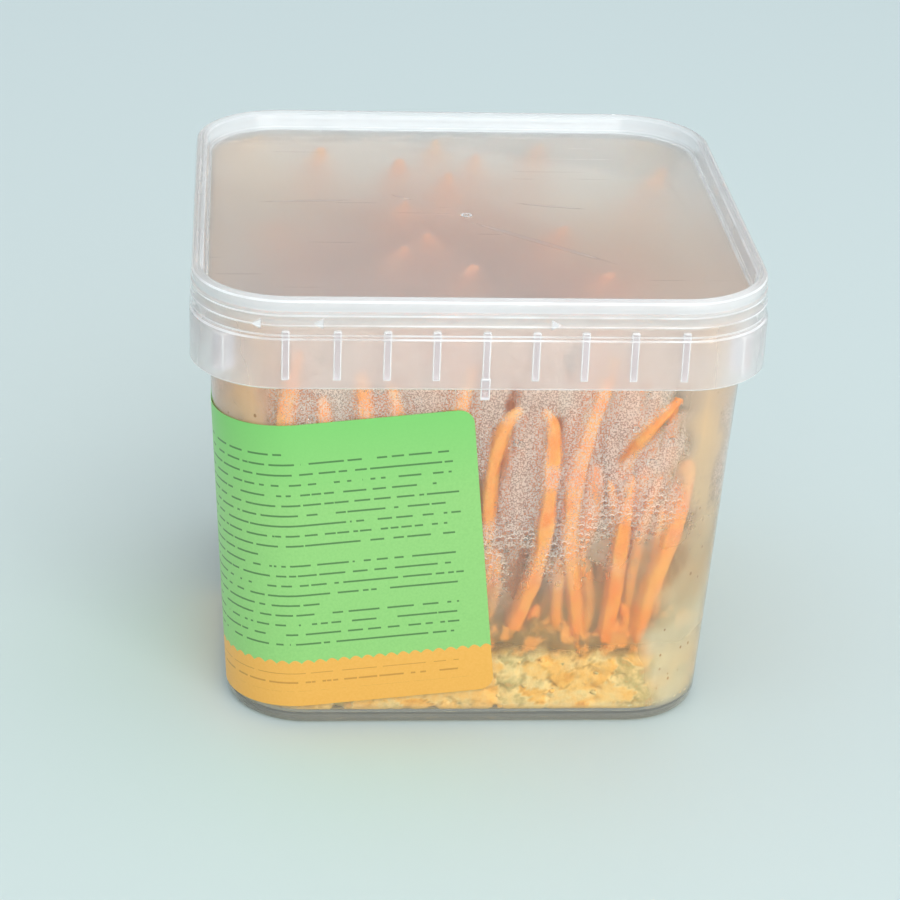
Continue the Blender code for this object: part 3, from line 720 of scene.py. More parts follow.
noise.seed_set(BED_SEED)
bed_chooser = random.Random(BED_SEED)
curd_placements = lay_curds(bed_chooser)
curd_mesh = joined_copies("loose_curds", [uneven_ball(seed * 3.1, 2) for seed in range(CURD_FORMS)],
                          curd_placements)
bed_shape = cad_copy("grain_bed")
for corner_vertex in bed_shape.verts:
    corner_vertex.co.xy *= 0.985
bed_shape.from_mesh(curd_mesh)
bpy.data.meshes.remove(curd_mesh)
bed_shape = reshaped(bed_shape, "REMESH", mode="VOXEL", voxel_size=BED_VOXEL)
roughen(bed_shape, 0.0026, 0.0003)
make_ragged(bed_shape.verts)
press_on_plastic(bed_shape.verts, 0.0009)
cake = add_piece("grain_cake", bed_shape, bed_finish(), sharp=180)
mark_curds(cake, curd_placements)
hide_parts("grain_bed")
grain_mesh = joined_copies("grains", [uneven_ball(50 + seed, 1) for seed in range(3)],
                           strew_grains(bed_chooser))
grains = add_piece("grains", grain_mesh, cake.data.materials[0], sharp=180)
press_on_plastic(grains.data.vertices, 0.0003)

# ---------------------------------------------------------------------------------------
# Stalks: orange clubs of cordyceps, slim at the foot, thickest below a round tip, finely
# pitted, with pale down where they are young. The tall ones bend under the lid.
STALK_SEED = 23
YOUNG_STALKS = 380
YOUNG_TOPS = (0.030, 0.036, 0.045, 0.055, 0.066, 0.075, 0.084)
YOUNG_REACH = 0.0040
YOUNG_FIELD = 0.0535
YOUNG_RADII = (0.0012, 0.0021)
YOUNG_LEAN, YOUNG_BOW = 0.006, 0.003
YOUNG_SPACING = 0.0060
YOUNG_STEPS = 8
FOOT_LENGTH = 0.003
FOOT_DEPTH = 0.002
FRINGE_TOPS = (0.028, 0.046)
WET_TO = 0.034


solid_stalks = sorted(name for name in frame["nodes"] if name.startswith(("stalk_", "young_tuft_")))


def stalk_finish():
    """Orange flesh with patches of pale down, painted darker away from the wall as shade in the middle of the
    tub.
    """
    finish, shader, place = start_finish("stalk_flesh")
    flesh = place.cloud(220, 3).spread(0.35, 0.65).colours((1.00, 0.34, 0.04), (1.00, 0.49, 0.10))
    down = place.cloud(130, 4, 0.6).spread(0.58, 0.75, 0.0, 0.6)
    across = place.math("ABSOLUTE", kind="VectorMath")
    # far_out is one near the wall and none in the middle, where the flesh is painted darker as shade.
    far_out = across.part("X").greater(across.part("Y")).spread(0.038, 0.053)
    set_values(
        shader, Base_Color=far_out.colours((0.86, 0.29, 0.05), down.colours(flesh, (1.00, 0.66, 0.28))),
        Roughness=0.55, Subsurface_Weight=0.25, Subsurface_Scale=0.002,
        Subsurface_Radius=(1.0, 0.5, 0.2), Normal=place.cloud(1100, 3).dents(0.0004, 0.7),
    )
    return finish


def grow_club(places, radius, sides=6):
    """A club grown along places: a small ring drawn out, swollen near its tip and closed."""
    club = bmesh.new()
    ring = bmesh.ops.create_circle(club, cap_ends=True, segments=sides, radius=radius)["verts"]
    edges = list(club.edges)
    order = {vertex: vertex.co / radius for vertex in ring}
    last = len(places) - 1
    for index, place in enumerate(places):
        share = index / last
        if index:
            ring, edges, _ = draw_out(club, edges)
            order = {vertex: min(before, key=lambda spot: (vertex.co - spot[0]).length)[1]
                     for vertex in ring}
        heading = places[min(index + 1, last)] - places[max(index - 1, 0)]
        turn = Vector((0, 0, 1)).rotation_difference(heading)
        tip = max(0.0, (share - 0.8) / 0.2)
        width = radius * (0.75 + 0.3 * share) * math.sqrt(max(0.02, 1.0 - tip * tip))
        for vertex, spoke in order.items():
            vertex.co = place + turn @ (spoke * width)
        before = [(vertex.co.copy(), spoke) for vertex, spoke in order.items()]
    bmesh.ops.contextual_create(club, geom=edges)
    return club


def cad_feet():
    """Where the larger stalks stand, so that the young ones can keep clear."""
    feet = []
    for name in solid_stalks:
        low = min((vertex.co for vertex in frame["nodes"][name].data.vertices), key=lambda co: co.z)
        feet.append(low.xy)
    return feet


def beside_solids():
    """A test of whether a route runs close beside a solid stalk and keeps the openings free."""
    solids = bmesh.new()
    for name in solid_stalks:
        solids.from_mesh(frame["nodes"][name].data)
    surface = BVHTree.FromBMesh(solids)
    solids.free()
    boxes = [opening["box_m"] for opening in frame["record"]["physics"]["openings"]]

    def fits(places, radius):
        for place in places[2::2]:
            if surface.find_nearest(place, YOUNG_REACH)[3] is None:
                return False
        return not any(all(low[axis] - radius < place[axis] < high[axis] + radius for axis in range(3))
                       for place in places for low, high in boxes)
    return fits


def young_routes():
    """Routes of the thin and short stalks that fill the growth between the larger ones."""
    chooser = random.Random(STALK_SEED)
    feet = cad_feet()
    fits = beside_solids()
    routes = []
    spacing = YOUNG_SPACING
    while len(routes) < YOUNG_STALKS:
        x, y = scattered(chooser, YOUNG_FIELD)
        radius = chooser.uniform(*YOUNG_RADII)
        top = chooser.choice(YOUNG_TOPS) + chooser.uniform(-0.004, 0.004)
        if chooser.random() < 0.6 and not inside_tub(x, y, 0.02, 0.009):
            top = chooser.uniform(*FRINGE_TOPS)
        lean = Vector((*scattered(chooser, YOUNG_LEAN), 0))
        bow = Vector((*scattered(chooser, YOUNG_BOW), 0))
        spacing *= 0.9997
        crowded = min((Vector((x, y)) - foot).length for foot in feet) < spacing
        if crowded or not inside_tub(x, y, 0.02, 0.003):
            continue
        foot_height = bed_height(x, y) - FOOT_DEPTH
        places = []
        for step in range(YOUNG_STEPS + 1):
            share = step / YOUNG_STEPS
            place = Vector((x, y, foot_height + (top - foot_height) * share))
            place += lean * share ** 1.5 + bow * math.sin(math.pi * share)
            while not inside_tub(place.x, place.y, place.z, 0.0026):
                place.xy *= 0.985
            places.append(place)
        if fits(places, radius):
            feet.append(Vector((x, y)))
            routes.append((places, radius))
    return routes


flesh = stalk_finish()
lid_tips = []
grown = bmesh.new()
for node_name in solid_stalks:
    stalk_shape = cad_copy(node_name)
    lowest = min(vertex.co.z for vertex in stalk_shape.verts)
    for stalk_vertex in stalk_shape.verts:
        if stalk_vertex.co.z < lowest + FOOT_LENGTH:
            stalk_vertex.co.z -= FOOT_DEPTH
    stalk_shape = smoothed(stalk_shape, 2)
    stalk_number = float(node_name.split("_")[-1])
    roughen(stalk_shape, 0.0080, 0.0005, stalk_number, swell=0.00030)
    roughen(stalk_shape, 0.0016, 0.0003, stalk_number)
    tip = max(stalk_shape.verts, key=lambda vertex: vertex.co.z)
    press_on_plastic(stalk_shape.verts)
    if tip.co.z > LID_PANEL_BOTTOM - 0.0005 and tip.co.y < WET_TO:
        lid_tips.append(tip.co.copy())
    club = add_piece("grown_" + node_name, stalk_shape, flesh, sharp=180)
    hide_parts(node_name)
    grown.from_mesh(club.data)

young_shape = bmesh.new()
for young_places, young_radius in young_routes():
    young_club = grow_club(young_places, young_radius)
    club_mesh = as_mesh("young_club", young_club)
    young_shape.from_mesh(club_mesh)
    bpy.data.meshes.remove(club_mesh)
young_shape = smoothed(young_shape, 1)
roughen(young_shape, 0.005, 0.0005)
bmesh.ops.recalc_face_normals(young_shape, faces=list(young_shape.faces))
young = add_piece("young_stalks", young_shape, flesh, sharp=180)
grown.from_mesh(young.data)
grown_surface = BVHTree.FromBMesh(grown)
grown.free()

# ---------------------------------------------------------------------------------------
# Condensation: beads of water on the inner faces of the tub, fine and dense on the upper
# half of the walls, few and larger lower down, left as low domes by their own weight.
BEAD_SEED = 31
FINE_BEADS = 4000
BELT_BEADS = 1800
LARGE_BEADS = 320
FINE_HEIGHTS, FINE_SIZES = (0.044, 0.1035), (0.00028, 0.00070)
BELT_HEIGHT, BELT_SPREAD, BELT_SIZES = 0.0470, 0.0040, (0.00055, 0.00130)
LARGE_HEIGHTS, LARGE_SIZES = (0.040, 0.100), (0.0007, 0.0026)
BEADED_WALL = (0.036, 0.1036)
TOUCH_REACH = 0.0012
BED_TOUCH = 0.90
BED_FADE = 0.0070
NEAR_REACH = 0.0050
WIPED_FROM = 0.036
WIPED_FADE = 0.014
WIPED_EDGE = 0.0012
WIPED_SPOTS = (((0.0345, 0.0737), (0.0440, 0.0840), 0.0021), ((0.0022, 0.0560), (0.0046, 0.0778), 0.0026),
               ((0.0318, 0.0704), (0.0345, 0.0735), 0.0014),
               ((0.0172, 0.0700), (0.0168, 0.0800), 0.0022), ((0.0438, 0.0860), (0.0470, 0.0850), 0.0030),
               ((0.0470, 0.0690), (0.0480, 0.0660), 0.0020))
MILKY_FROM = 0.0440
MILKY_LOW_FROM = 0.0385
MILKY_FADE = 0.0070
MILKY_UNEVEN = 0.0060


def water_finish():
    """Clear water."""
    finish, shader, place = start_finish("condensation")
    set_values(shader, Base_Color=(1, 1, 1), IOR=1.33, Transmission_Weight=1.0, Roughness=0.02,
               Normal=place.cloud(900, 1).dents(0.0001, 0.3))
    pass_light(shader, (0.97, 0.97, 0.97))
    return finish


def dome(sides, rings):
    """A closed half-ball bead with a flat back, one metre across."""
    bead = bmesh.new()
    angles = [math.radians(90) * step / rings for step in range(rings + 1)]
    arc = [bead.verts.new((0.5 * math.cos(angle), 0, 0.45 * math.sin(angle))) for angle in angles]
    edges = [bead.edges.new(pair) for pair in zip(arc, arc[1:])]
    bmesh.ops.spin(bead, geom=arc + edges, cent=(0, 0, 0), axis=(0, 0, 1), steps=sides,
                   angle=math.tau, use_merge=True)
    bmesh.ops.remove_doubles(bead, verts=list(bead.verts), dist=0.0001)
    rim = [edge for edge in bead.edges if edge.is_boundary]
    bmesh.ops.contextual_create(bead, geom=rim)
    bmesh.ops.recalc_face_normals(bead, faces=list(bead.faces))
    return bead


def bead_placement(turn, height, size, stretch, shade):
    """One bead on the inner wall, its dome inwards; None where growth is in its way."""
    place, outward = place_along_wall(turn, height, 0.00003)
    _, _, _, distance = grown_surface.find_nearest(place, size * 0.6)
    if distance is not None:
        return None
    return 0, facing_wall(place, -outward, 0.0, (size, size * stretch, size)), shade


def bead_run(chooser, count, heights, sizes):
    """Beads strewn over all four walls between two sizes, at heights that a rule draws."""
    placements = []
    for _ in range(count):
        size = sizes[0] + (sizes[1] - sizes[0]) * chooser.random() ** 2
        bead = bead_placement(chooser.random(), heights(), size, chooser.uniform(0.9, 1.25),
                              chooser.random())
        if bead and BEADED_WALL[0] < bead[1].translation.z < BEADED_WALL[1]:
            placements.append(bead)
    return placements


def fine_bead_places(chooser):
    """Fine beads all over the upper half of the walls."""
    return bead_run(chooser, FINE_BEADS, lambda: chooser.uniform(*FINE_HEIGHTS), FINE_SIZES)


def drop_places(chooser):
    """A dense belt of larger beads at the lower edge of the fog, and few anywhere."""
    belt = bead_run(chooser, BELT_BEADS, lambda: chooser.gauss(BELT_HEIGHT, BELT_SPREAD), BELT_SIZES)
    return belt + bead_run(chooser, LARGE_BEADS, lambda: chooser.uniform(*LARGE_HEIGHTS), LARGE_SIZES)


def rubbed_clear(place):
    """One in the front wall's wiped spots, falling to none beside them."""
    most = 0.0
    for start, end, reach in WIPED_SPOTS:
        line = Vector(end) - Vector(start)
        share = clamped((place.xz - Vector(start)).dot(line) / line.length_squared)
        off = (place.xz - Vector(start) - line * share).length
        most = max(most, min(1.0, (reach - off) / WIPED_EDGE))
    return most if place.y < 0.0 else 0.0


def touched_by_growth(place):
    """One where a stalk lies wet on the wall, falling to none 1 mm away, and less at the bed."""
    buried = 0.5 + (bed_height(place.x, place.y) - place.z) / BED_FADE
    covered = max(rubbed_clear(place), BED_TOUCH * clamped(buried))
    _, _, _, distance = grown_surface.find_nearest(place, TOUCH_REACH)
    if distance is None:
        return covered
    wiped = clamped(0.36 + 2.6 * noise.noise(place / 0.011 + Vector((3.3, 0, 0))))
    wiped *= clamped((place.z - WIPED_FROM) / WIPED_FADE)
    return max(covered, wiped * (1.0 - distance / TOUCH_REACH))


def over_growth(place):
    """One where growth is right behind the wall, falling to none NEAR_REACH away."""
    _, _, _, distance = grown_surface.find_nearest(place, NEAR_REACH)
    return 0.0 if distance is None else 1.0 - distance / NEAR_REACH


def in_milky_corner(place):
    """One in the tub's round corners, where the fog is thickest, falling to none beside them."""
    upper = clamped((place.z - 0.024) / 0.022)
    past = min(abs(place.x), abs(place.y)) - MILKY_LOW_FROM - (MILKY_FROM - MILKY_LOW_FROM) * upper
    past += MILKY_UNEVEN * noise.noise(place / 0.0075 + Vector((0, 5.1, 0)))
    return clamped(past / MILKY_FADE) * (0.8 + 0.4 * noise.noise(place / 0.012))


wall_places = [wall_vertex.co for wall_vertex in tub.data.vertices]
mark_points(tub, "touch", [touched_by_growth(wall_place) for wall_place in wall_places])
mark_points(tub, "near_growth", [over_growth(wall_place) for wall_place in wall_places])
mark_points(tub, "corner", [in_milky_corner(wall_place) for wall_place in wall_places])
bead_chooser = random.Random(BEAD_SEED)
water = water_finish()
for beads_name, bead_shape, placed in (("condensation_fine", dome(6, 2), fine_bead_places(bead_chooser)),
                                       ("condensation_drops", dome(9, 3), drop_places(bead_chooser))):
    beads = add_piece(beads_name, joined_copies(beads_name, [bead_shape], placed), water, sharp=70)

# ---------------------------------------------------------------------------------------
# Lid: one moulding of milky polypropylene: a sunk panel, a raised bead round it, and a deep
# skirt with a step, inner ribs and a nib under each middle rib. It is pushed over the rim.
LID_CORNER = 0.0202
LID_WALL = 0.0009
LID_SKIRT_BOTTOM = 0.0900
LID_STEP = 0.1018
LID_STEP_DEPTH = 0.0004
LID_BEAD_BOTTOM = 0.1070
LID_BEAD_HALF = 0.0647
LID_BEAD_CORNER = 0.0217
LID_BEAD_WIDTH = 0.0032
LID_PANEL_TOP = 0.1064
SCRATCHES = (((-0.0024, -0.0018), (0.0335, -0.0317), 0.0012), ((-0.0175, 0.0142), (-0.0122, 0.0102), 0.0007),
             ((0.0120, 0.0090), (0.0300, 0.0050), 0.0006), ((-0.0500, 0.0080), (-0.0260, 0.0100), 0.0006))
WET_SPOT = (0.0022, 0.0005)
FLANGE_LINE = 0.1049
LID_EDGES = (0.0902, 0.1018, 0.1026, FLANGE_LINE, 0.1072, 0.1104)
RIB_EDGE_AREA = 4e-6
GUSSET_FROM = 0.0460
EDGE_LINE = 0.00022
RIB = (0.0018, (0.0620, 0.0642), (0.0918, 0.1034))
NIB = (0.0022, (0.0630, 0.0645), (0.0873, 0.0925))
CORNER_RIB = (0.0034, (0.0793, 0.0828), (0.0918, 0.1006))
TRIANGLES = ((-0.0500, 1), (-0.0365, 1), (0.0145, -1))
GATE_RADIUS = 0.0011
RIB_PLACES = (-0.0439, -0.0326, -0.0217, -0.0109, 0.0, 0.0109, 0.0217, 0.0326, 0.0439)


def lid_outside():
    """The outer face of bead and skirt: milky, whiter where thick and along its moulded edges; the white edge
    lines and the bead's extra white on the front are partly painted highlights.
    """
    finish, shader, place = start_finish("lid_outside")
    height = place.part("Z")
    # Whiter lines along the moulded edges, broken into streaks: partly the plastic's edges, partly painted
    # highlights.
    edge_lines_and_highlights = height.math("COMPARE", LID_EDGES[0], EDGE_LINE)
    for edge in LID_EDGES[1:]:
        edge_lines_and_highlights = edge_lines_and_highlights.greater(height.math("COMPARE", edge, EDGE_LINE))
    edge_lines_and_highlights *= place.cloud(65, 2).spread(0.40, 0.60, 0.4, 1.0)
    # The edge lines and the bead are painted less white towards the back, since the painted highlights fall
    # on the front.
    behind = place.part("Y").spread(-0.055, 0.0)
    bead = height.spread(LID_BEAD_BOTTOM - 0.0004, LID_BEAD_BOTTOM + 0.0004) * (behind * -0.24 + 0.34)
    across = place.math("ABSOLUTE", kind="VectorMath")
    in_corner = across.part("X").math("MINIMUM", across.part("Y"))
    cloudy = in_corner.spread(GUSSET_FROM, GUSSET_FROM + 0.012) * 0.22
    neck = height.spread(FLANGE_LINE - 0.0006, FLANGE_LINE + 0.0004, 0.0, 0.20)
    # Whiter where the plastic is thick: on the bead, in the corner gussets and at the neck under the bead.
    thick = bead.greater(cloudy.greater(neck))
    milk_and_highlights = edge_lines_and_highlights * (behind * -0.38 + 0.55) + thick
    set_values(
        shader, Base_Color=(0.97, 0.98, 1.0), IOR=1.20, Coat_Weight=0.7, Coat_Roughness=0.06,
        Transmission_Weight=place.cloud(40, 3).spread(0.35, 0.65, 0.89, 0.82) - milk_and_highlights,
        Roughness=thick * 0.16 + 0.08, Normal=place.cloud(75, 2).dents(0.0003, 0.3),
    )
    pass_light(shader, (0.98, 0.98, 0.98))
    return finish


def lid_rib_finish(name, colour, clearest):
    """A finish for the ribs: clear and slightly lilac, or white on their bevelled edges, where the white is a
    painted highlight.
    """
    finish, shader, place = start_finish(name)
    set_values(shader, Base_Color=colour, IOR=1.25, Coat_Weight=0.5, Coat_Roughness=0.05, Roughness=0.06,
               Transmission_Weight=place.cloud(120, 2).spread(0.35, 0.65, clearest, clearest - 0.1))
    pass_light(shader, (0.96, 0.96, 0.97))
    return finish


def scratch_line(place, start, end, half_width):
    """One along a scratch on the panel between two places, falling to none beside it."""
    line = Vector(end) - Vector(start)
    middle = (Vector(end) + Vector(start)) / 2
    laid = place.mapped("TEXTURE", Location=(middle.x, middle.y, LID_PANEL_TOP),
                        Rotation=(0, 0, math.atan2(line.y, line.x)),
                        Scale=(line.length / 2, half_width, 0.01))
    return laid.math("LENGTH", kind="VectorMath", output="Value").spread(1.0, 0.5)


def lid_panel_finish():
    """The panel's top: clearer than the rest, with a few worn scratches and fine hair lines."""
    finish, shader, place = start_finish("lid_panel")
    hair = place.mapped(Rotation=(0, 0, math.radians(-32)), Scale=(0.04, 1.0, 1.0)).cloud(900, 1)
    worn = hair.spread(0.755, 0.775) * 0.35
    for scratch in SCRATCHES:
        worn = worn.greater(scratch_line(place, *scratch))
    low_waves = place.cloud(25, 2).dents(0.0002, 0.3)
    set_values(
        shader, Base_Color=(worn * 0.8).colours((0.97, 0.96, 0.95), (0.72, 0.67, 0.66)), IOR=1.30,
        Coat_Weight=0.5, Coat_Roughness=0.12, Transmission_Weight=worn * -0.10 + 0.93,
        Roughness=worn * 0.25 + 0.12, Normal=worn.dents(0.0001, 0.4, Normal=low_waves),
    )
    pass_light(shader, (1.0, 0.98, 0.97))
    return finish


def lid_inside(tips):
    """The inner face: clear at the skirt, fogged under the panel but for where tips touch it."""
    finish, shader, place = start_finish("lid_inside")
    spots = [place.math("DISTANCE", tip, kind="VectorMath", output="Value").spread(*WET_SPOT) for tip in tips]
    wet = functools.reduce(Pattern.greater, spots)
    under_panel = place.part("Z").spread(LID_PANEL_BOTTOM - 0.0004, LID_PANEL_BOTTOM - 0.0001)
    fog = under_panel * (wet * -0.70 + 1.0)
    patches = place.cloud(90, 4).spread(0.30, 0.70, 0.78, 0.95)
    behind = (place.part("X") * 0.45 + place.part("Y")).spread(-0.010, 0.055)
    tint = behind.colours((0.98, 0.90, 0.80), (0.94, 1.0, 1.0))
    set_values(
        shader, Base_Color=under_panel.colours((1.0, 0.90, 0.87), tint), IOR=1.30,
        Transmission_Weight=fog * (behind * 0.14 + 0.12) * -1.0 + 0.92,
        Roughness=fog * patches + (under_panel * -0.47 + 0.55),
    )
    pass_light(shader, (1.0, 0.97, 0.94))
    return finish


def add_rib(shape, quarter, place, width, reach, heights):
    """One rib inside the skirt: its width, how far out it reaches, and its heights."""
    cube = bmesh.ops.create_cube(shape, size=1.0)["verts"]
    depth, tall = reach[1] - reach[0], heights[1] - heights[0]
    middle = Vector((place, -(reach[0] + reach[1]) / 2, (heights[0] + heights[1]) / 2))
    around = Matrix.Rotation(quarter * math.radians(90), 4, "Z")
    fitted = around @ Matrix.Translation(middle) @ Matrix.Diagonal((width, depth, tall, 1))
    bmesh.ops.transform(shape, matrix=fitted, verts=cube)
    edges = list(dict.fromkeys(edge for vertex in cube for edge in vertex.link_edges))
    bmesh.ops.bevel(shape, geom=edges, offset=0.0003, segments=2, profile=0.5, affect="EDGES",
                    material=-1)


def add_triangle(shape, place, way_up):
    """A small raised triangle on the front of the skirt, just under the bead."""
    disc = bmesh.ops.create_cone(shape, cap_ends=True, segments=3, radius1=0.0015, radius2=0.0012,
                                 depth=0.0003)["verts"]
    turned = Matrix.Rotation(math.radians(90), 4, "X") @ Matrix.Rotation(math.radians(90 * way_up), 4, "Z")
    seat = Vector((place, LID_STEP_DEPTH - 0.0001 - lid_half, 0.1054))
    bmesh.ops.transform(shape, matrix=Matrix.Translation(seat) @ turned, verts=disc)


def add_gate_mark(shape):
    """The small ring with a stub in it that the mould's gate leaves in the panel's middle."""
    profile = [(GATE_RADIUS + 0.00025 * math.cos(turn), 0.00016 * math.sin(turn))
               for turn in (math.radians(45 * step) for step in range(8))]
    ring = [shape.verts.new((across, 0, LID_PANEL_TOP + 0.00004 + up)) for across, up in profile]
    edges = [shape.edges.new((ring[step - 1], ring[step])) for step in range(8)]
    spun = bmesh.ops.spin(shape, geom=ring + edges, cent=(0, 0, 0), axis=(0, 0, 1), steps=24,
                          angle=math.tau, use_merge=True)
    bmesh.ops.recalc_face_normals(shape, faces=[face for face in shape.faces if ring[0] in face.verts])
    stub = bmesh.ops.create_cone(shape, cap_ends=True, segments=12, radius1=0.0004, radius2=0.0003,
                                 depth=0.0004)["verts"]
    bmesh.ops.translate(shape, verts=stub, vec=(0, 0, LID_PANEL_TOP + 0.0001))


lid_half, _, lid_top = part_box("lid")[1]
panel_half = LID_BEAD_HALF - LID_BEAD_WIDTH
panel_corner = LID_BEAD_CORNER - LID_BEAD_WIDTH
inner_half = lid_half - LID_WALL
inner_corner = LID_CORNER - LID_WALL
step_corner = (LID_CORNER + LID_BEAD_CORNER) / 2
upper_half = inner_half - LID_STEP_DEPTH
stepped_half = lid_half - LID_STEP_DEPTH
lid_rings = [
    *rings_near(panel_half, panel_corner, LID_PANEL_BOTTOM, (-20, -20, 0)),
    (upper_half, LID_BEAD_CORNER - LID_WALL, LID_PANEL_BOTTOM),
    (upper_half, step_corner - LID_WALL, LID_STEP),
    (inner_half, inner_corner, LID_STEP - 0.0008),
    *rings_near(inner_half, inner_corner, LID_SKIRT_BOTTOM, (0, 0, 2), (2, 2, 0)),
    *rings_near(lid_half, LID_CORNER, LID_SKIRT_BOTTOM, (-3, -3, 0), (0, 0, 3)),
    *rings_near(lid_half, LID_CORNER, LID_STEP, (0, 0, -6), (-1, 1, -2)),
    (stepped_half, step_corner, LID_STEP + 0.0006),
    *rings_near(stepped_half, step_corner, FLANGE_LINE, (0, 0, -3), (2, 2, 0), (0, 1, 3)),
    (stepped_half, LID_BEAD_CORNER, LID_BEAD_BOTTOM - 0.0006),
    *rings_near(LID_BEAD_HALF, LID_BEAD_CORNER, LID_BEAD_BOTTOM,
                (0, 0, 0), (0, 0, 8), (-3, -3, 11), (-3, -3, 15), (-1, 0, 18)),
    *rings_near(LID_BEAD_HALF, LID_BEAD_CORNER, lid_top,
                (-1, 0, -12), (-3, -2, -6), (-7, -6, -2), (-12, -11, 0)),
    *rings_near(panel_half, panel_corner, lid_top, (16, 16, -3), (12, 12, 0), (6, 6, -4), (2, 2, -10)),
    *rings_near(panel_half, panel_corner, LID_PANEL_TOP, (0, 0, 6), (-2, -2, 2), (-7, -7, 0)),
]
lid_shape = square_shell(lid_rings, range(0, 6))
panel_top = max((face for face in lid_shape.faces if face.normal.z > 0.99), key=lambda face: face.calc_area())
panel_top.material_index = 2
moulded_faces = set(lid_shape.faces)
for rib_quarter in range(4):
    for rib_place in RIB_PLACES:
        add_rib(lid_shape, rib_quarter, rib_place, *RIB)
    add_rib(lid_shape, rib_quarter, 0.0, *NIB)
    add_rib(lid_shape, rib_quarter + 0.5, 0.0, *CORNER_RIB)
for rib_face in set(lid_shape.faces) - moulded_faces:
    # Small bevel faces get the white edge finish, a painted highlight.
    rib_face.material_index = 4 if rib_face.calc_area() < RIB_EDGE_AREA else 3
for mark_place, way_up in TRIANGLES:
    add_triangle(lid_shape, mark_place, way_up)
moulded_faces = set(lid_shape.faces)
add_gate_mark(lid_shape)
for gate_face in set(lid_shape.faces) - moulded_faces:
    gate_face.material_index = 2
lid = add_piece("lid_moulding", lid_shape, lid_outside(), lid_inside(lid_tips), lid_panel_finish(),
                lid_rib_finish("lid_rib", (0.93, 0.90, 0.96), 0.84),
                lid_rib_finish("lid_rib_edge_highlight", (1.0, 1.0, 1.0), 0.22))
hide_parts("lid")

# ---------------------------------------------------------------------------------------
# Label: a thin printed film stuck askew round the front left corner. It is green with an
# orange lower band whose edge is scalloped, and only has ruled lines on it.
LABEL_WIDTH = 0.118
LABEL_HEIGHT = 0.074
LABEL_CORNER = 0.0035
LABEL_TILT_FRONT = math.radians(6.2)
LABEL_TILT_SIDE = math.radians(1.6)
LABEL_RIGHT = 0.0020
LABEL_MIDDLE_HEIGHT = 0.0467
LABEL_LIFT = 0.00012
LABEL_THICKNESS = 0.0001
BAND_HEIGHT = 0.0125
SCALLOP_PITCH = 0.00275
SCALLOP_DEPTH = 0.0009
ROW_PITCH = 0.00262
LINE_IN_ROW = (0.36, 0.54)
LEFT_MARGIN = 0.006
LINE_END = 0.1135
GREEN_LINES = (0.0155, 0.0685)
BAND_LINES = (0.0040, 0.0090)
LABEL_SLICES = (60, 20)


def label_place(along, up, lift):
    """A point of the label on the tub's wall; along runs right from its left end."""
    corner_start = TUB_BASE_CORNER - tub_half(LABEL_MIDDLE_HEIGHT)
    arc = math.radians(90) * tub_corner(LABEL_MIDDLE_HEIGHT)
    to_right = LABEL_WIDTH - along
    on_front = LABEL_RIGHT - corner_start
    past = min(max(to_right - on_front, 0.0), arc)
    tilt = LABEL_TILT_FRONT + (LABEL_TILT_SIDE - LABEL_TILT_FRONT) * past / arc
    mean_tilt = (LABEL_TILT_FRONT + tilt) / 2
    drop = min(to_right, on_front) * math.sin(LABEL_TILT_FRONT) + past * math.sin(mean_tilt)
    drop += max(to_right - on_front - arc, 0.0) * math.sin(LABEL_TILT_SIDE)
    height = LABEL_MIDDLE_HEIGHT + up * math.cos(tilt) - drop
    run = LABEL_RIGHT - to_right - up * math.sin(tilt)
    half = tub_half(height) + lift
    corner = tub_corner(height) + lift
    bend_start = corner - half
    if run >= bend_start:
        return Vector((run, -half, height))
    turn = (bend_start - run) / (corner - lift)
    if turn <= math.radians(90):
        x = bend_start - corner * math.sin(turn)
        return Vector((x, bend_start - corner * math.cos(turn), height))
    beyond = (turn - math.radians(90)) * (corner - lift)
    return Vector((-half, bend_start + beyond, height))


def make_label_shape():
    """A plate with round corners, sliced, thickened and laid on the wall."""
    shape = bmesh.new()
    plate = bmesh.ops.create_grid(shape, x_segments=1, y_segments=1, size=0.5)
    for vertex in plate["verts"]:
        vertex.co.x = (vertex.co.x + 0.5) * LABEL_WIDTH
        vertex.co.y *= LABEL_HEIGHT
    bmesh.ops.bevel(shape, geom=list(shape.verts), offset=LABEL_CORNER, segments=8, profile=0.5,
                    affect="VERTICES", material=-1)
    columns, rows = LABEL_SLICES
    cuts = [((LABEL_WIDTH * step / columns, 0, 0), (1, 0, 0)) for step in range(1, columns)]
    cuts += [((0, LABEL_HEIGHT * (step / rows - 0.5), 0), (0, 1, 0)) for step in range(1, rows)]
    for place, direction in cuts:
        everything = list(shape.verts) + list(shape.edges) + list(shape.faces)
        bmesh.ops.bisect_plane(shape, geom=everything, dist=1e-7, plane_co=place, plane_no=direction)
    print_map = shape.loops.layers.uv.new("print")
    for face in shape.faces:
        for loop in face.loops:
            loop[print_map].uv = (loop.vert.co.x, loop.vert.co.y + LABEL_HEIGHT / 2)
    extruded = bmesh.ops.extrude_face_region(shape, geom=list(shape.faces))["geom"]
    raised = {item for item in extruded if isinstance(item, bmesh.types.BMVert)}
    for vertex in shape.verts:
        lift = LABEL_LIFT + (LABEL_THICKNESS if vertex in raised else 0.0)
        vertex.co = label_place(vertex.co.x, vertex.co.y, lift)
    bmesh.ops.recalc_face_normals(shape, faces=list(shape.faces))
    return shape


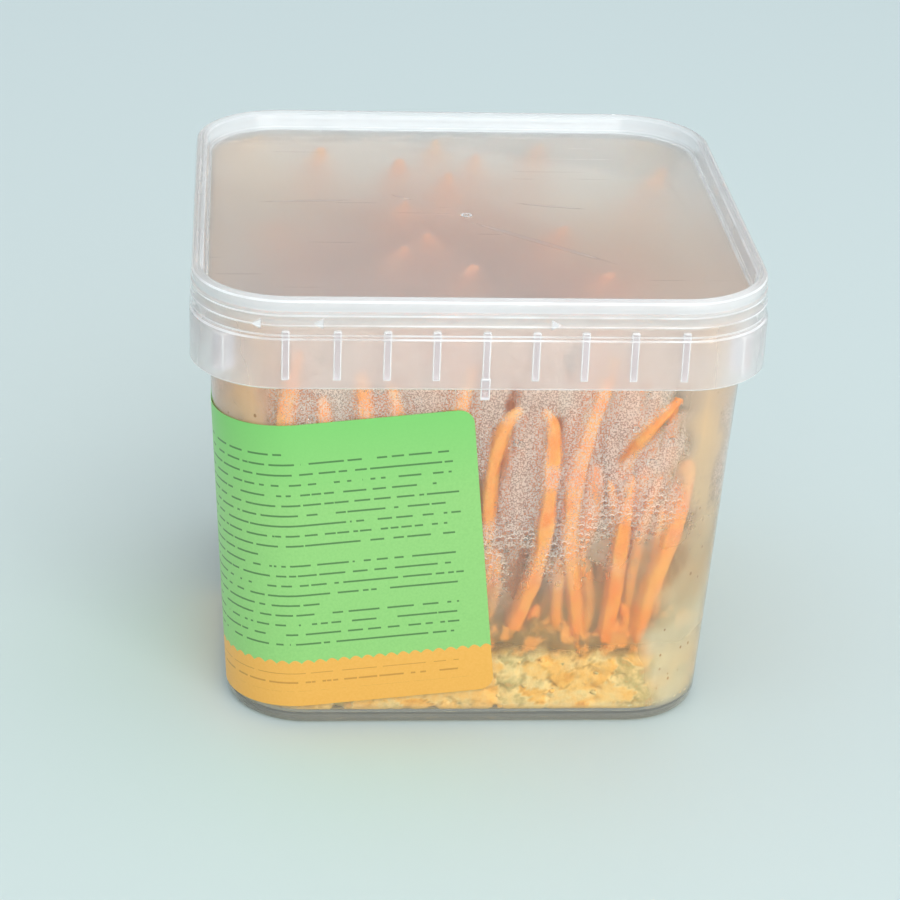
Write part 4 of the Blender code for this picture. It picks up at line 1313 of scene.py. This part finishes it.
def label_finish():
    """Printed film: green, an orange scalloped band, broken ruled lines, a fine print grain."""
    finish, shader, place = start_finish("label_print")
    print_place = add_node(place.tree, "UVMap", output="UV", uv_map="print")
    along, up = print_place.part("X"), print_place.part("Y")
    wave = (along * (math.pi / SCALLOP_PITCH)).math("SINE").math("ABSOLUTE")
    band = up.math("LESS_THAN", wave * SCALLOP_DEPTH + (BAND_HEIGHT - SCALLOP_DEPTH))
    fibres = place.cloud(1800, 2)
    grain = fibres.spread(0.3, 0.7)
    green = grain.colours((0.300, 0.650, 0.195), (0.335, 0.690, 0.215))
    green = up.spread(0.052, 0.076).colours(green, (0.225, 0.66, 0.165))
    orange = grain.colours((0.93, 0.47, 0.085), (0.96, 0.50, 0.105))
    rows = up.math("DIVIDE", ROW_PITCH)
    row = rows.math("FLOOR")
    draw = add_node(place.tree, "TexWhiteNoise", {"W": row}, "Value", noise_dimensions="1D")
    last_row = (row * 0.2).math("FRACT").math("LESS_THAN", 0.1)
    end = draw * (last_row * 0.045 + 0.004) * -1.0 + LINE_END
    dash_place = add_node(place.tree, "CombineXYZ", {"X": along * 420.0, "Y": row * 7.3})
    dashes = dash_place.cloud(1.0, 1).math("GREATER_THAN", 0.44)
    ruled = rows.math("FRACT").between(*LINE_IN_ROW) * along.between(LEFT_MARGIN, end) * dashes
    printed = (ruled * up.between(*GREEN_LINES) * 0.75).colours(green, (0.035, 0.11, 0.035))
    orange = (ruled * up.between(*BAND_LINES) * 0.45).colours(orange, (0.30, 0.12, 0.02))
    set_values(shader, Base_Color=band.colours(printed, orange), Roughness=0.38,
               Normal=fibres.dents(0.00005, 0.15))
    return finish


label = add_piece("label_print", make_label_shape(), label_finish(), sharp=60)
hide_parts("label")

# ---------------------------------------------------------------------------------------
# Stage: a pale blue seamless floor under soft light from above and from the right.
FLOOR_SIZE = 3.0
LIGHT_AIM = Vector((0, 0, 0.05))
LIGHT_COLOUR = (1.0, 0.99, 0.97)
SKY_COLOUR = (0.93, 0.98, 1.0, 1.0)
SKY_STRENGTH = 0.75


def floor_finish():
    """Pale blue paper."""
    finish, shader, place = start_finish("backdrop_paper")
    along = place.part("Y").spread(-0.3, 1.2)
    set_values(shader, Base_Color=along.colours((0.67, 0.775, 0.775), (0.68, 0.80, 0.83)), Roughness=0.8)
    return finish


def add_light(name, place, size, power):
    """A square soft box that looks at the tub."""
    lamp = bpy.data.lights.new(name, "AREA")
    lamp.shape = "SQUARE"
    lamp.size = size
    lamp.energy = power
    lamp.color = LIGHT_COLOUR
    holder = bpy.data.objects.new(name, lamp)
    holder.location = place
    holder.rotation_euler = (LIGHT_AIM - Vector(place)).to_track_quat("-Z", "Y").to_euler()
    bpy.context.collection.objects.link(holder)


floor_shape = bmesh.new()
bmesh.ops.create_grid(floor_shape, x_segments=4, y_segments=4, size=FLOOR_SIZE / 2)
floor_mesh = as_mesh("floor", floor_shape)
floor_mesh.materials.append(floor_finish())
floor = bpy.data.objects.new("floor", floor_mesh)
bpy.context.collection.objects.link(floor)

add_light("soft_box_top", (0.1, 0.1, 1.1), 1.2, 1.5)
add_light("soft_box_front", (0.45, -1.20, 0.75), 1.0, 9.0)

world = bpy.data.worlds.new("studio")
bpy.context.scene.world = world
world.use_nodes = True
sky = world.node_tree.nodes["Background"].inputs
sky["Color"].default_value = SKY_COLOUR
sky["Strength"].default_value = SKY_STRENGTH

scene = bpy.context.scene
scene.view_settings.view_transform = "Standard"
scene.cycles.use_denoising = True
scene.cycles.max_bounces = 8
scene.cycles.diffuse_bounces = 3
scene.cycles.glossy_bounces = 3
scene.cycles.transmission_bounces = 8
scene.cycles.transparent_max_bounces = 8
